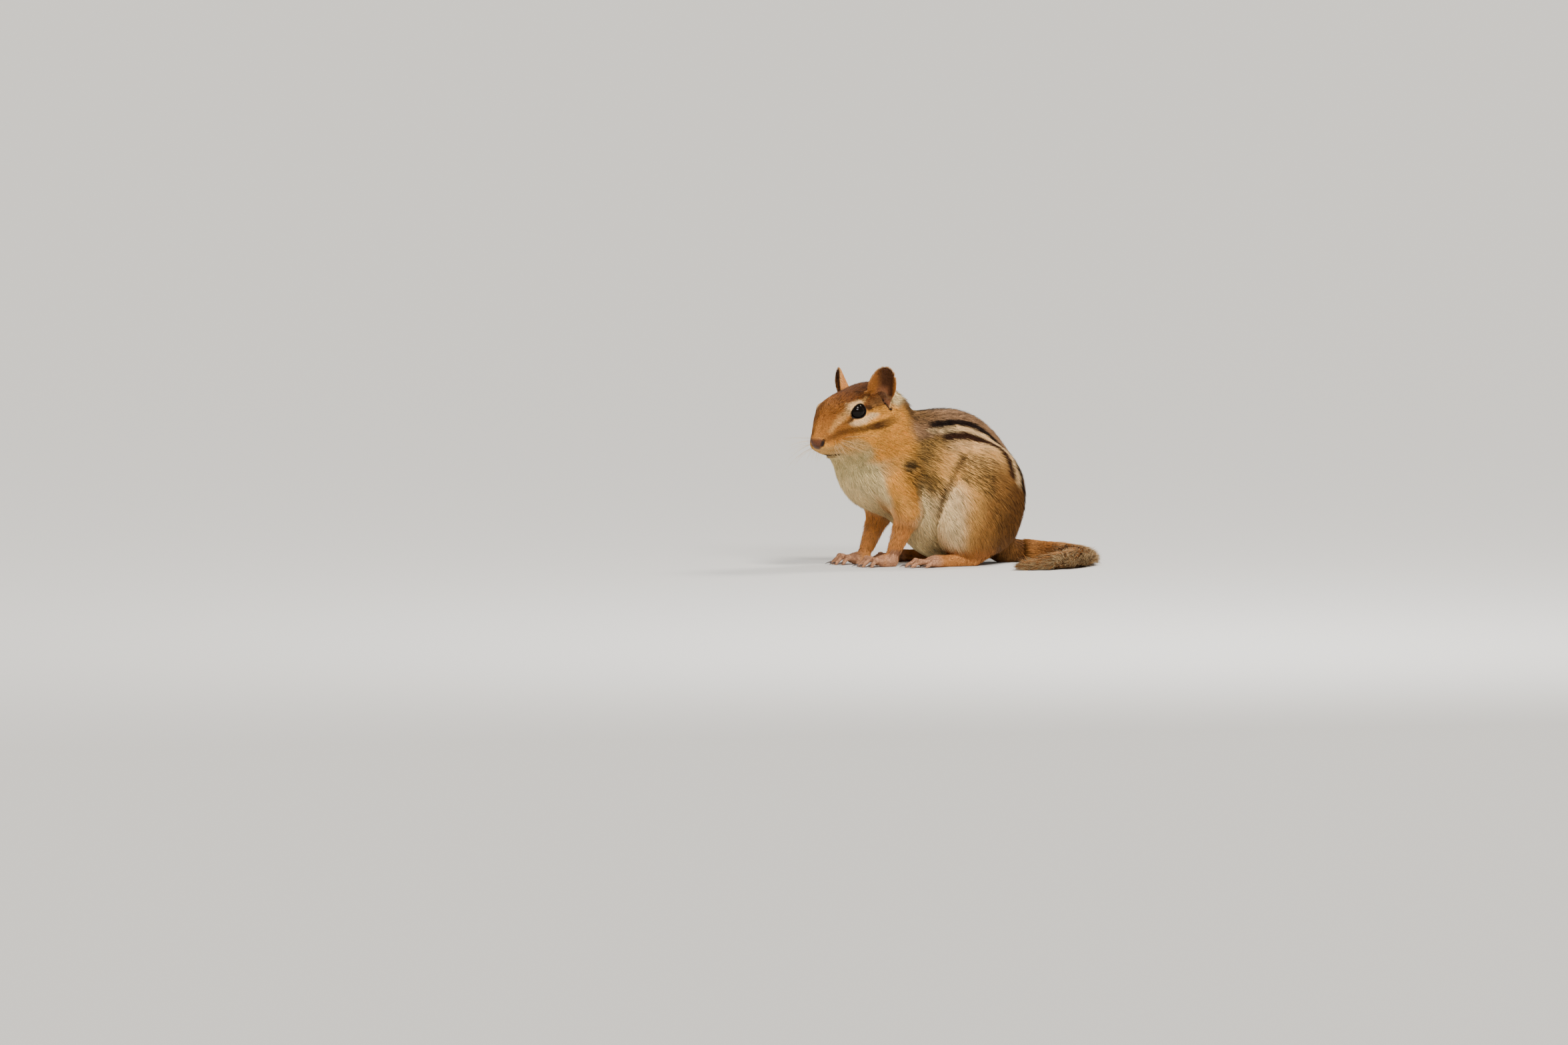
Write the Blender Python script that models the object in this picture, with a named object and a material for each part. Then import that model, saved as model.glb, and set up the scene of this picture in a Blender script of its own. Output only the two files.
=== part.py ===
"""An eastern chipmunk at life size: a still model, hunched on all fours with its head turned to its left.

The animal faces -Y with its left side at +X. Its feet, rump and tail rest on the floor at Z = 0.
Lengths are millimetres until a mesh is made. The flesh is one distance field, made of blended
ellipsoids and tapered capsules. Each node is meshed from it and parted from its neighbours by thin
cuts, along planes or ellipsoids. The tail's long hair is a loop of flat locks fused to its core.
"""

import math

import bmesh
import bpy
import numpy as np
from mathutils import Matrix, Vector

MM = 0.001
GAP = 0.3
FLOOR = ((0.0, 0.0, 0.0), (0.0, 0.0, -1.0))
SMOOTH_ANGLE = 50.0
SIDES = {"left": 1, "right": -1}

# Finishes: colour and roughness. Nothing on the animal is metal.
FINISHES = {
    "back_fur": ((0.235, 0.125, 0.055), 0.85),
    "head_fur": ((0.300, 0.135, 0.050), 0.85),
    "haunch_fur": ((0.420, 0.215, 0.075), 0.85),
    "foreleg_fur": ((0.460, 0.200, 0.070), 0.85),
    "tail_fur": ((0.190, 0.085, 0.032), 0.85),
    "foot": ((0.420, 0.190, 0.120), 0.60),
    "ear": ((0.230, 0.090, 0.050), 0.70),
    "nose": ((0.300, 0.130, 0.095), 0.45),
    "eye": ((0.006, 0.004, 0.003), 0.05),
    "claw": ((0.100, 0.070, 0.060), 0.40),
}

# Torso: centre (y, z), radii (x, y, z) and pitch in degrees, nose up.
RUMP = ((11.0, 25.0), (20.0, 27.5, 25.3), 0.0)
BACK = ((4.0, 36.6), (19.0, 27.5, 26.6), 0.0)
CHEST = ((-22.0, 39.5), (17.0, 20.5, 18.5), 25.0)
TORSO_BLEND = 8.0

# Neck: the two ends of one capsule, from the skull to between the shoulders.
NECK_ENDS = ((0.0, -27.5, 57.0), (0.0, -13.0, 45.5))
NECK_RADII = (13.2, 17.2)
NECK_BLEND = 7.0
HEAD_BLEND = 8.0

# Left hind leg: the haunch is an ellipsoid, and a capsule runs from the knee down to the heel.
HAUNCH_CENTRE = (14.5, 14.0, 24.5)
HAUNCH_RADII = (11.5, 18.5, 24.0)
HAUNCH_PITCH = 22.0
KNEE = (17.5, 2.5, 18.0)
HEEL = (18.0, 10.0, 4.2)
SHANK_RADII = (5.6, 3.6)
LEG_BLEND = 4.0

# Forelegs: shoulder, elbow and wrist. The right one reaches a little further forward.
FORELEGS = {
    "left": ((11.0, -20.5, 33.0), (12.8, -16.0, 21.0), (11.0, -21.5, 5.2)),
    "right": ((-11.0, -22.0, 33.0), (-12.3, -18.5, 21.0), (-9.0, -26.0, 5.2)),
}
UPPER_ARM_RADII = (8.5, 5.6)
FOREARM_RADII = (5.4, 2.6)
ELBOW_BLEND = 3.0

# Feet: the origin of each is on the floor under its heel or wrist, and toe_out is in degrees.
HIND_FOOT_ORIGIN = (18.5, 9.5)
HIND_TOE_OUT = 5.0
FORE_TOE_OUT = {"left": 4.0, "right": -8.0}

# Feet in their own frames, as (forward, outward, up): a sole, a pad, and each toe's base, knuckle and tip.
HIND_SOLE = ((0.0, 0.0, 2.5), (16.5, 0.3, 2.2), 2.7, 2.3)
HIND_PAD = ((16.5, 0.3, 2.0), (4.8, 4.4, 2.2))
HIND_TOES = (
    ((15.0, -3.0, 1.7), (18.0, -4.1, 2.0), (20.6, -4.6, 0.8)),
    ((19.0, -2.1, 1.9), (23.5, -3.0, 2.5), (27.2, -3.4, 0.8)),
    ((19.8, -0.2, 2.0), (24.8, -0.5, 2.7), (28.8, -0.7, 0.8)),
    ((19.4, 1.7, 1.9), (24.2, 2.4, 2.5), (27.9, 2.7, 0.8)),
    ((15.5, 3.2, 1.7), (19.5, 4.8, 2.1), (22.8, 5.5, 0.8)),
)
FORE_PAD = ((3.8, 0.0, 2.4), (4.4, 3.5, 2.4))
FORE_HEEL = ((0.0, 0.0, 2.0), (3.0, 0.0, 2.0), 2.0, 2.2)
FORE_THUMB = ((3.6, -2.6, 1.5), (5.6, -3.9, 1.0), 1.1, 0.9)
FORE_FINGERS = (
    ((6.6, -2.4, 2.4), (9.8, -3.5, 3.1), (12.6, -4.2, 0.8)),
    ((7.4, -0.9, 2.6), (11.2, -1.3, 3.5), (14.4, -1.6, 0.8)),
    ((7.3, 0.9, 2.6), (11.0, 1.5, 3.5), (14.2, 1.9, 0.8)),
    ((6.4, 2.4, 2.4), (9.2, 3.8, 3.0), (11.8, 4.8, 0.8)),
)
TOE_RADII = (1.15, 0.95, 0.8)
FINGER_RADII = (1.1, 0.95, 0.8)
TOE_END = 0.45
TOE_BLEND = 0.7
PAD_BLEND = 1.8

# Claws: length, base radius, share of it lost at the tip, rise at the middle and drop at the tip.
CLAW_LENGTH = 2.3
CLAW_RADIUS = 0.5
CLAW_TAPER = 0.82
CLAW_BASE_RISE = 0.1
CLAW_ARCH = 0.35
CLAW_DROP = 0.95
CLAW_SIDES = 5

# Head frame: the origin is midway between the ear canals. A positive roll lifts its left side.
HEAD_ORIGIN = (2.0, -28.4, 61.9)
HEAD_YAW = 26.0
HEAD_PITCH = 12.0
HEAD_ROLL = 3.0

# Skull, in that frame as (forward, left, up), each piece with its blend. Cheek and lip pad are doubled.
CRANIUM = ((1.5, 0.0, 0.8), (15.5, 13.0, 11.7))
FACE = ((13.0, 0.0, 0.9), (15.7, 11.2, 11.1), 4.0)
MUZZLE = ((12.0, 0.0, -2.0), (26.7, 0.0, -3.7), 10.6, 5.8, 5.0)
JAW = ((8.0, 0.0, -9.0), (26.2, 0.0, -9.0), 9.0, 3.3, 3.0)
CHEEK = ((8.0, 7.3, -7.0), (13.0, 8.0, 9.8), 4.5)
LIP_PAD = ((25.3, 3.3, -5.6), (6.6, 3.6, 3.6), 2.5)

# Eyes: each ball, the way it looks, and the ring of its lids.
EYE_CENTRE = (16.2, 9.0, 4.4)
EYE_AXIS = (0.34, 0.92, 0.18)
EYE_RADIUS = 3.6
LID_RING = 3.15
LID_SET = 1.3
LID_RADIUS = 0.7
LID_BLEND = 1.4

# Nose pad with its nostrils, which are grooves, and the line of the mouth.
NOSE_CENTRE = (31.2, 0.0, -4.1)
NOSE_RADII = (3.0, 3.2, 2.7)
NOSE_BLEND = 2.2
NOSTRIL = ((33.8, 0.9, -5.1), (32.4, 2.6, -4.0))
NOSTRIL_DEPTH = 0.9
NOSTRIL_WIDTH = 0.6
MOUTH_REACH = 22.0
MOUTH_END = 32.0
MOUTH_FADE = 1.8
MOUTH_HEIGHT = -8.1
MOUTH_SAG = 1.5
MOUTH_DEPTH = 0.9
MOUTH_WIDTH = 1.0

# Ears: a cupped leaf from root to tip, thicker low down, on a collar that joins it to the skull.
EAR_ROOT = (1.6, 9.6, 5.2)
EAR_TIP = (0.2, 13.0, 19.0)
EAR_OPENING = (0.75, 0.62, 0.2)
EAR_HALF_WIDTH = 5.7
EAR_THICK = 1.0
EAR_ROOT_THICK = 0.5
EAR_LEAN = 0.12
EAR_CUP = (0.12, 0.07)
EAR_BEND = 0.006
EAR_SET_BACK = 1.6
EAR_COLLAR = ((0.0, -2.0, -1.0), (0.0, 1.6, -1.2), 3.6, 2.2)
EAR_COLLAR_BLEND = 1.5
EAR_BLEND = 1.2
EAR_NOTCH = ((1.4, 12.8, 1.0), (3.2, 11.8, 5.2))
EAR_NOTCH_DEPTH = 1.5
EAR_NOTCH_WIDTH = 1.3

# Tail: its middle line on the floor as (x, y), then half sizes at even places from root to tip.
TAIL_LINE = (
    (0.0, 30.0),
    (1.5, 42.0),
    (10.0, 51.5),
    (24.0, 53.5),
    (37.5, 47.0),
    (46.5, 35.5),
    (49.5, 22.5),
)
TAIL_CORE_WIDTHS = (5.0, 4.2, 3.9, 4.1, 4.1, 3.9, 1.6)
TAIL_CORE_HEIGHTS = (5.0, 3.8, 3.4, 3.5, 3.5, 3.2, 1.6)
TAIL_SINK = 0.3
TAIL_LENGTHS = ("base", "middle", "tip")

# Locks on the tail: where their tips reach, to each side and above, at even places to the last tip.
LOCK_SIDE_REACH = (6.0, 6.6, 8.0, 9.0, 9.6, 9.6, 8.6, 2.5)
LOCK_TOP_REACH = (5.0, 5.2, 5.6, 6.2, 6.4, 6.2, 5.4, 2.0)
LOCK_ROWS = 9
LOCK_START = 10.0
LOCK_END_MARGIN = 4.0
LOCK_ANGLES = (-12.0, 14.0, 60.0, 120.0, 166.0, 192.0)
LOCK_LYING = 25.0
LOCK_LENGTH = 14.0
LOCK_ROOT = 1.2
LOCK_CURL = 1.8
LOCK_HALF_WIDTH = 2.7
LOCK_RIDGE = 0.75
LOCK_KEEL = 0.35
LOCK_RINGS = (0.0, 0.35, 0.7)
LOCK_FLOOR_CLEARANCE = 0.3
LOCK_WOBBLE = {"angle": 5.0, "length": 1.2, "place": 0.8, "turn": 0.1}
LOCK_SEED = 7

# Cuts that part the nodes: ellipsoids (centre, radii, pitch), planes (point, outward normal), heights.
HAUNCH_CUT = ((24.0, 14.5, 22.0), (15.5, 21.2, 29.0), HAUNCH_PITCH)
ARM_CUTS = {
    "left": ((14.5, -19.0, 20.0), (9.0, 9.2, 18.5), 0.0),
    "right": ((-14.0, -21.5, 20.0), (9.0, 9.2, 18.5), 0.0),
}
HEAD_CUT = ((0.0, -26.0, 51.0), (0.16, -0.60, 0.79))
NECK_CUT = ((0.0, -20.5, 44.0), (0.05, -0.62, 0.78))
WRIST_CUT = 6.3
NOSE_CUT = ((33.6, 0.0, -4.1), (3.9, 3.4, 3.0))
EAR_CUT = ((0.0, 0.755, 0.656), 14.2)

# Meshing: each node's box, the grid's cell in it and its triangles before it is cut.
BODY_BOX = ((-32.0, -68.0, -4.0), (32.0, 44.0, 86.0))
HEAD_BOX = ((-21.0, -21.0, -22.0), (38.0, 21.0, 22.0))
NOSE_BOX = ((25.0, -7.0, -12.0), (39.0, 7.0, 3.0))
EAR_BOX = ((-8.0, 2.0, 1.0), (11.0, 22.0, 24.0))
HIND_LEG_BOX = ((0.0, -22.0, -4.0), (32.0, 44.0, 64.0))
FORE_LEG_BOX = ((-14.0, -16.0, -21.0), (14.0, 14.0, 25.0))
HIND_FOOT_BOX = ((-5.0, -10.0, -3.0), (33.0, 10.0, 9.0))
FORE_FOOT_BOX = ((-8.0, -9.0, -3.0), (19.0, 9.0, 10.0))
TAIL_BOX = ((-12.0, 10.0, -3.0), (62.0, 66.0, 14.0))
RUMP_BOX = ((-26.0, 4.0, -6.0), (26.0, 46.0, 30.0))
MESHING = {
    "torso": (1.3, 1950),
    "neck": (1.2, 2900),
    "head": (0.42, 3950),
    "nose": (0.3, 660),
    "ear": (0.35, 960),
    "hindleg": (1.1, 1000),
    "hindfoot": (0.35, 520),
    "foreleg": (0.8, 680),
    "forefoot": (0.35, 520),
    "tail": (0.8, 420),
    "foot_tool": (0.5, 1500),
    "rump_tool": (1.2, 1500),
}
EYE_SHARE = 0.6


def unit(v):
    v = np.asarray(v, float)
    return v / np.linalg.norm(v)


def mirrored(point, side):
    """A point given for the left, across X, on the named side."""
    return np.array((SIDES[side] * point[0], point[1], point[2]))


def on_side(point, side):
    """A head or foot point given for the left, across its second axis, on the named side."""
    return np.array((point[0], SIDES[side] * point[1], point[2]))


def head_frame():
    """The head's origin, and rows for its forward, left and up directions."""
    yaw, pitch, roll = (math.radians(a) for a in (HEAD_YAW, HEAD_PITCH, HEAD_ROLL))
    level = np.array((math.sin(yaw), -math.cos(yaw), 0.0))
    forward = level * math.cos(pitch) - np.array((0.0, 0.0, math.sin(pitch)))
    left = np.array((math.cos(yaw), math.sin(yaw), 0.0))
    up = np.cross(forward, left)
    rolled_left = left * math.cos(roll) + up * math.sin(roll)
    rolled_up = up * math.cos(roll) - left * math.sin(roll)
    return np.array(HEAD_ORIGIN), np.array((forward, rolled_left, rolled_up))


ANIMAL = (np.zeros(3), np.eye(3))
HEAD = head_frame()


def foot_frame(side, front):
    """Origin on the floor, and rows for the foot's forward, left and up directions."""
    sign = SIDES[side]
    if front:
        origin = np.array((*FORELEGS[side][2][:2], 0.0))
        turn = math.radians(FORE_TOE_OUT[side]) * sign
    else:
        origin = np.array((sign * HIND_FOOT_ORIGIN[0], HIND_FOOT_ORIGIN[1], 0.0))
        turn = math.radians(HIND_TOE_OUT) * sign
    forward = np.array((math.sin(turn), -math.cos(turn), 0.0))
    left = np.array((math.cos(turn), math.sin(turn), 0.0))
    return origin, np.array((forward, left, (0.0, 0.0, 1.0)))


def into(frame, p):
    """Points of the animal's frame in another frame."""
    return (p - frame[0]) @ frame[1].T


def out_of(frame, p):
    """Points of another frame in the animal's frame."""
    return frame[0] + np.asarray(p, float) @ frame[1]


def ellipsoid(p, centre, radii, axes=None):
    """Signed distance, close to true near the surface. The rows of axes are its own directions."""
    q = p - np.asarray(centre, float)
    if axes is not None:
        q = q @ np.asarray(axes).T
    radii = np.asarray(radii, float)
    near = np.linalg.norm(q / radii, axis=-1)
    steep = np.linalg.norm(q / radii**2, axis=-1)
    return near * (near - 1.0) / np.maximum(steep, 1e-9)


def capsule(p, a, b, radius_a, radius_b):
    a, b = np.asarray(a, float), np.asarray(b, float)
    run = b - a
    t = np.clip((p - a) @ run / (run @ run), 0.0, 1.0)
    away = np.linalg.norm(p - a - t[..., None] * run, axis=-1)
    return away - (radius_a + (radius_b - radius_a) * t)


def blend(a, b, reach):
    """Smooth union of two distances."""
    h = np.clip(0.5 + 0.5 * (b - a) / reach, 0.0, 1.0)
    return b + (a - b) * h - reach * h * (1.0 - h)


def pitched(degrees):
    """Axes turned about X, nose up."""
    t = math.radians(degrees)
    c, s = math.cos(t), math.sin(t)
    return np.array(((1, 0, 0), (0, c, -s), (0, s, c)))


def torso_field(p):
    d = None
    for (y, z), radii, pitch in (RUMP, BACK, CHEST):
        piece = ellipsoid(p, (0.0, y, z), radii, pitched(pitch))
        d = piece if d is None else blend(d, piece, TORSO_BLEND)
    return d


def neck_field(p):
    return capsule(p, *NECK_ENDS, *NECK_RADII)


def hind_leg_field(p, side):
    haunch = ellipsoid(p, mirrored(HAUNCH_CENTRE, side), HAUNCH_RADII, pitched(HAUNCH_PITCH))
    shank = capsule(p, mirrored(KNEE, side), mirrored(HEEL, side), *SHANK_RADII)
    return blend(haunch, shank, LEG_BLEND)


def foreleg_field(p, side):
    shoulder, elbow, wrist = FORELEGS[side]
    upper = capsule(p, shoulder, elbow, *UPPER_ARM_RADII)
    lower = capsule(p, elbow, wrist, *FOREARM_RADII)
    return blend(upper, lower, ELBOW_BLEND)


def skull_field(q):
    """The head without ears, nose pad or openings, in the head's frame."""
    d = ellipsoid(q, *CRANIUM)
    d = blend(d, ellipsoid(q, *FACE[:2]), FACE[2])
    d = blend(d, capsule(q, *MUZZLE[:4]), MUZZLE[4])
    d = blend(d, capsule(q, *JAW[:4]), JAW[4])
    for side in SIDES:
        for centre, radii, reach in (CHEEK, LIP_PAD):
            d = blend(d, ellipsoid(q, on_side(centre, side), radii), reach)
    return d


def lid_field(q, side):
    """The ring of lids round an eye."""
    axis = unit(on_side(EYE_AXIS, side))
    from_eye = q - on_side(EYE_CENTRE, side)
    along = from_eye @ axis
    out = np.linalg.norm(from_eye - along[..., None] * axis, axis=-1)
    return np.hypot(out - LID_RING, along - LID_SET) - LID_RADIUS


def groove(q, side, ends, depth, width):
    """How much a soft groove between two points cuts away."""
    away = capsule(q, *[on_side(end, side) for end in ends], 0.0, 0.0)
    return depth * np.exp(-((away / width) ** 2))


def mouth_height(forward):
    """Height of the mouth's line in the head's frame, lowest at its corner."""
    t = np.clip((forward - MOUTH_REACH) / (MOUTH_END - MOUTH_REACH), 0.0, 1.0)
    return MOUTH_HEIGHT - MOUTH_SAG * (1.0 - t) ** 0.7


def head_field(p):
    """The head with its lids, nose pad, nostrils, the notches under its ears and the line of its mouth."""
    q = into(HEAD, p)
    d = skull_field(q)
    d = blend(d, ellipsoid(q, NOSE_CENTRE, NOSE_RADII), NOSE_BLEND)
    for side in SIDES:
        d = blend(d, lid_field(q, side), LID_BLEND)
        d = d + groove(q, side, NOSTRIL, NOSTRIL_DEPTH, NOSTRIL_WIDTH)
        d = d + groove(q, side, EAR_NOTCH, EAR_NOTCH_DEPTH, EAR_NOTCH_WIDTH)
    off = (q[..., 2] - mouth_height(q[..., 0])) / MOUTH_WIDTH
    fade = np.clip((q[..., 0] - MOUTH_REACH) / MOUTH_FADE, 0.0, 1.0)
    return d + MOUTH_DEPTH * fade * np.exp(-(off**2))


def ear_axes(side):
    """Rows are the directions across the ear, up it, and out of its opening."""
    up = unit(on_side(EAR_TIP, side) - on_side(EAR_ROOT, side))
    opening = unit(on_side(EAR_OPENING, side))
    opening = unit(opening - (opening @ up) * up)
    return np.array((np.cross(up, opening), up, opening))


def ear_field(p, side):
    """A cupped leaf that opens forward and outward, standing on the skull."""
    root, tip = on_side(EAR_ROOT, side), on_side(EAR_TIP, side)
    height = np.linalg.norm(tip - root)
    q = (into(HEAD, p) - root) @ ear_axes(side).T
    across, up, out = q[..., 0] * SIDES[side], q[..., 1], q[..., 2]
    level = np.clip(up / height, 0.0, 1.0)
    cup = EAR_CUP[0] + (EAR_CUP[1] - EAR_CUP[0]) * level
    sheet = out - cup * across**2 - EAR_BEND * up**2 + EAR_SET_BACK
    middle, half = height * 0.42, height * 0.58
    flat = np.stack((across - EAR_LEAN * (up - middle), up - middle, np.zeros_like(up)), -1)
    outline = ellipsoid(flat, (0.0, 0.0, 0.0), (EAR_HALF_WIDTH, half, half))
    thick = EAR_THICK / 2 + EAR_ROOT_THICK * (1.0 - level) ** 2
    leaf = np.hypot(np.maximum(outline + thick, 0.0), sheet) - thick
    return blend(leaf, capsule(q, *EAR_COLLAR), EAR_COLLAR_BLEND)


def trunk_field(p):
    """Torso, neck, head and legs as one body, without ears, feet and tail."""
    d = blend(torso_field(p), neck_field(p), NECK_BLEND)
    d = blend(d, head_field(p), HEAD_BLEND)
    for side in SIDES:
        d = blend(d, hind_leg_field(p, side), LEG_BLEND)
        d = blend(d, foreleg_field(p, side), LEG_BLEND)
    return d


def eared_field(p):
    d = trunk_field(p)
    for side in SIDES:
        d = blend(d, ear_field(p, side), EAR_BLEND)
    return d


def claw_direction(joints):
    """Level direction in which a toe's last bone points."""
    ahead = np.array(joints[2]) - np.array(joints[1])
    ahead[2] = 0.0
    return unit(ahead)


def toe_field(q, joints, radii):
    """One toe, its end cut flat where the claw starts."""
    base, knuckle, tip = (np.array(j) for j in joints)
    first = capsule(q, base, knuckle, radii[0], radii[1])
    last = capsule(q, knuckle, tip, radii[1], radii[2])
    d = blend(first, last, TOE_BLEND)
    return np.maximum(d, (q - tip) @ claw_direction(joints) - TOE_END)


def hind_foot_field(p, side):
    q = into(foot_frame(side, front=False), p)
    q = q * (1.0, SIDES[side], 1.0)
    d = blend(capsule(q, *HIND_SOLE), ellipsoid(q, *HIND_PAD), PAD_BLEND)
    for joints in HIND_TOES:
        d = blend(d, toe_field(q, joints, TOE_RADII), TOE_BLEND)
    return d


def fore_foot_field(p, side):
    q = into(foot_frame(side, front=True), p)
    q = q * (1.0, SIDES[side], 1.0)
    d = blend(ellipsoid(q, *FORE_PAD), capsule(q, *FORE_HEEL), PAD_BLEND)
    d = blend(d, capsule(q, *FORE_THUMB), TOE_BLEND)
    d = blend(d, foreleg_field(p, side), PAD_BLEND)
    for joints in FORE_FINGERS:
        d = blend(d, toe_field(q, joints, FINGER_RADII), TOE_BLEND)
    return d


def smooth_curve(values, count=400):
    """A smooth curve through evenly placed values, read at count even places."""
    t = np.linspace(0.0, 1.0, len(values))
    fine = np.linspace(0.0, 1.0, count)
    slope = np.gradient(values, t)
    i = np.clip(np.searchsorted(t, fine, side="right") - 1, 0, len(t) - 2)
    h = t[i + 1] - t[i]
    s = (fine - t[i]) / h
    return (
        (2 * s**3 - 3 * s**2 + 1) * values[i]
        + (s**3 - 2 * s**2 + s) * h * slope[i]
        + (3 * s**2 - 2 * s**3) * values[i + 1]
        + (s**3 - s**2) * h * slope[i + 1]
    )


def tail_curve(count):
    """Evenly spaced points along the tail's middle line, and its length."""
    line = np.array(TAIL_LINE)
    smooth = np.stack([smooth_curve(line[:, k]) for k in (0, 1)], 1)
    run = np.r_[0.0, np.cumsum(np.linalg.norm(np.diff(smooth, axis=0), axis=1))]
    at = np.linspace(0.0, run[-1], count)
    return np.stack([np.interp(at, run, smooth[:, k]) for k in (0, 1)], 1), run[-1]


def size_at(sizes, share):
    return np.interp(share, np.linspace(0.0, 1.0, len(sizes)), sizes)


def tail_core_field(p):
    """A flattened tube round the tail's line, sunk a little into the floor."""
    points, _ = tail_curve(40)
    best = np.full(len(p), np.inf)
    share = np.zeros(len(p))
    for i in range(len(points) - 1):
        run = points[i + 1] - points[i]
        t = np.clip((p[:, :2] - points[i]) @ run / (run @ run), 0.0, 1.0)
        away = np.linalg.norm(p[:, :2] - points[i] - t[:, None] * run, axis=1)
        nearer = away < best
        best[nearer] = away[nearer]
        share[nearer] = ((i + t) / (len(points) - 1))[nearer]
    w = size_at(TAIL_CORE_WIDTHS, share)
    h = size_at(TAIL_CORE_HEIGHTS, share)
    rise = p[:, 2] - h + TAIL_SINK
    near = np.hypot(best / w, rise / h)
    steep = np.hypot(best / w**2, rise / h**2)
    return near * (near - 1.0) / np.maximum(steep, 1e-9)


def sample(field, low, high, cell):
    """The field on a grid. Blocks far from its surface hold the value at their middle."""
    block = 8
    counts = [int(math.ceil((h - l) / cell / block)) * block for l, h in zip(low, high)]
    axes = [l + cell * np.arange(n) for l, n in zip(low, counts)]
    middle = (block - 1) / 2 * cell
    centres = np.stack(np.meshgrid(*[a[::block] + middle for a in axes], indexing="ij"), -1)
    rough = field(centres.reshape(-1, 3)).reshape(centres.shape[:3])
    values = rough.repeat(block, 0).repeat(block, 1).repeat(block, 2)
    reach = middle * math.sqrt(3) * 1.6 + cell
    near = np.argwhere(np.abs(rough) < reach)
    step = np.stack(np.meshgrid(*[cell * np.arange(block)] * 3, indexing="ij"), -1)
    for start in range(0, len(near), 256):
        some = near[start : start + 256]
        corner = np.array(low) + some * block * cell
        points = corner[:, None, None, None, :] + step[None]
        found = field(points.reshape(-1, 3)).reshape(points.shape[:4])
        for (i, j, k), cube in zip(some * block, found):
            values[i : i + block, j : j + block, k : k + block] = cube
    for axis in range(3):
        for end in (0, -1):
            face = [slice(None)] * 3
            face[axis] = end
            values[tuple(face)] = np.maximum(values[tuple(face)], cell)
    return values


def net_points(values, inside):
    """One point in each grid cell that the surface crosses, and each cell's point number."""
    n = np.array(values.shape) - 1
    total = np.zeros((*n, 3))
    count = np.zeros(n)

    def at(grid, c):
        return grid[c[0] : c[0] + n[0], c[1] : c[1] + n[1], c[2] : c[2] + n[2]]

    for a in np.ndindex(2, 2, 2):
        for axis in range(3):
            if a[axis]:
                continue
            b = tuple(1 if k == axis else a[k] for k in range(3))
            crossed = at(inside, a) != at(inside, b)
            fall = np.where(crossed, at(values, a) - at(values, b), 1.0)
            t = at(values, a) / fall
            for k in range(3):
                total[..., k] += np.where(crossed, a[k] + (t if k == axis else 0.0), 0)
            count += crossed
    used = count > 0
    number = np.full(tuple(n), -1)
    number[used] = np.arange(used.sum())
    return np.argwhere(used) + total[used] / count[used][:, None], number


def surface_nets(values, low, cell):
    """Points and quads of the zero surface of a sampled field."""
    inside = values < 0
    places, number = net_points(values, inside)
    quads = []
    for axis in range(3):
        others = [k for k in range(3) if k != axis]
        start = [slice(1, -1)] * 3
        start[axis] = slice(0, -1)
        end = [slice(1, -1)] * 3
        end[axis] = slice(1, None)
        first = inside[tuple(start)]
        found = np.argwhere(first != inside[tuple(end)])
        outward = first[tuple(found.T)] == (axis != 1)
        found[:, others] += 1
        ring = []
        for back in ((1, 1), (0, 1), (0, 0), (1, 0)):
            cell_at = found.copy()
            cell_at[:, others] -= back
            ring.append(number[tuple(cell_at.T)])
        ring = np.stack(ring, 1)
        ring[~outward] = ring[~outward][:, ::-1]
        quads.append(ring)
    return np.asarray(low) + places * cell, np.concatenate(quads)


def settled(field, points, step=0.05):
    """Points moved onto the field's surface."""
    g = np.empty_like(points)
    for k in range(3):
        h = np.zeros(3)
        h[k] = step
        g[:, k] = (field(points + h) - field(points - h)) / (2 * step)
    move = field(points) / np.maximum((g * g).sum(1), 0.3)
    return points - g * np.clip(move, -0.5, 0.5)[:, None]


def matrix_of(frame):
    """The matrix that places a frame, in metres."""
    origin, axes = frame
    return Matrix.Translation(Vector(origin) * MM) @ Matrix(axes.T.tolist()).to_4x4()


def skin_mesh(name, kind, field, box, frame=ANIMAL):
    """An object in a frame, with the closed surface of a field inside the frame's box, thinned."""
    cell, triangles = MESHING[kind]
    low, high = (np.array(c, float) for c in box)

    def framed(q):
        return field(out_of(frame, q))

    points, quads = surface_nets(sample(framed, low, high, cell), low, cell)
    points = settled(framed, points)
    data = bpy.data.meshes.new(name)
    data.from_pydata((points * MM).tolist(), [], quads.tolist())
    obj = bpy.data.objects.new(name, data)
    obj.matrix_basis = matrix_of(frame)
    bpy.context.scene.collection.objects.link(obj)
    thin = obj.modifiers.new("thin", "DECIMATE")
    thin.ratio = min(1.0, triangles / (2 * len(quads)))
    thin.use_collapse_triangulate = True
    apply_modifiers(obj)
    mend(obj)
    return obj


def mend(obj):
    """Collapses any edge that more than two faces share."""
    bm = bmesh.new()
    bm.from_mesh(obj.data)
    for _ in range(4):
        crowded = [e for e in bm.edges if len(e.link_faces) > 2]
        if not crowded:
            break
        bmesh.ops.collapse(bm, edges=crowded)
    bmesh.ops.dissolve_degenerate(bm, dist=1e-7, edges=bm.edges[:])
    bmesh.ops.triangulate(bm, faces=bm.faces[:])
    bm.to_mesh(obj.data)
    bm.free()


def apply_modifiers(obj):
    graph = bpy.context.evaluated_depsgraph_get()
    shaped = bpy.data.meshes.new_from_object(obj.evaluated_get(graph))
    old = obj.data
    obj.modifiers.clear()
    obj.data = shaped
    shaped.name = obj.name
    bpy.data.meshes.remove(old)


def drop(obj):
    data = obj.data
    bpy.data.objects.remove(obj)
    bpy.data.meshes.remove(data)


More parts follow.
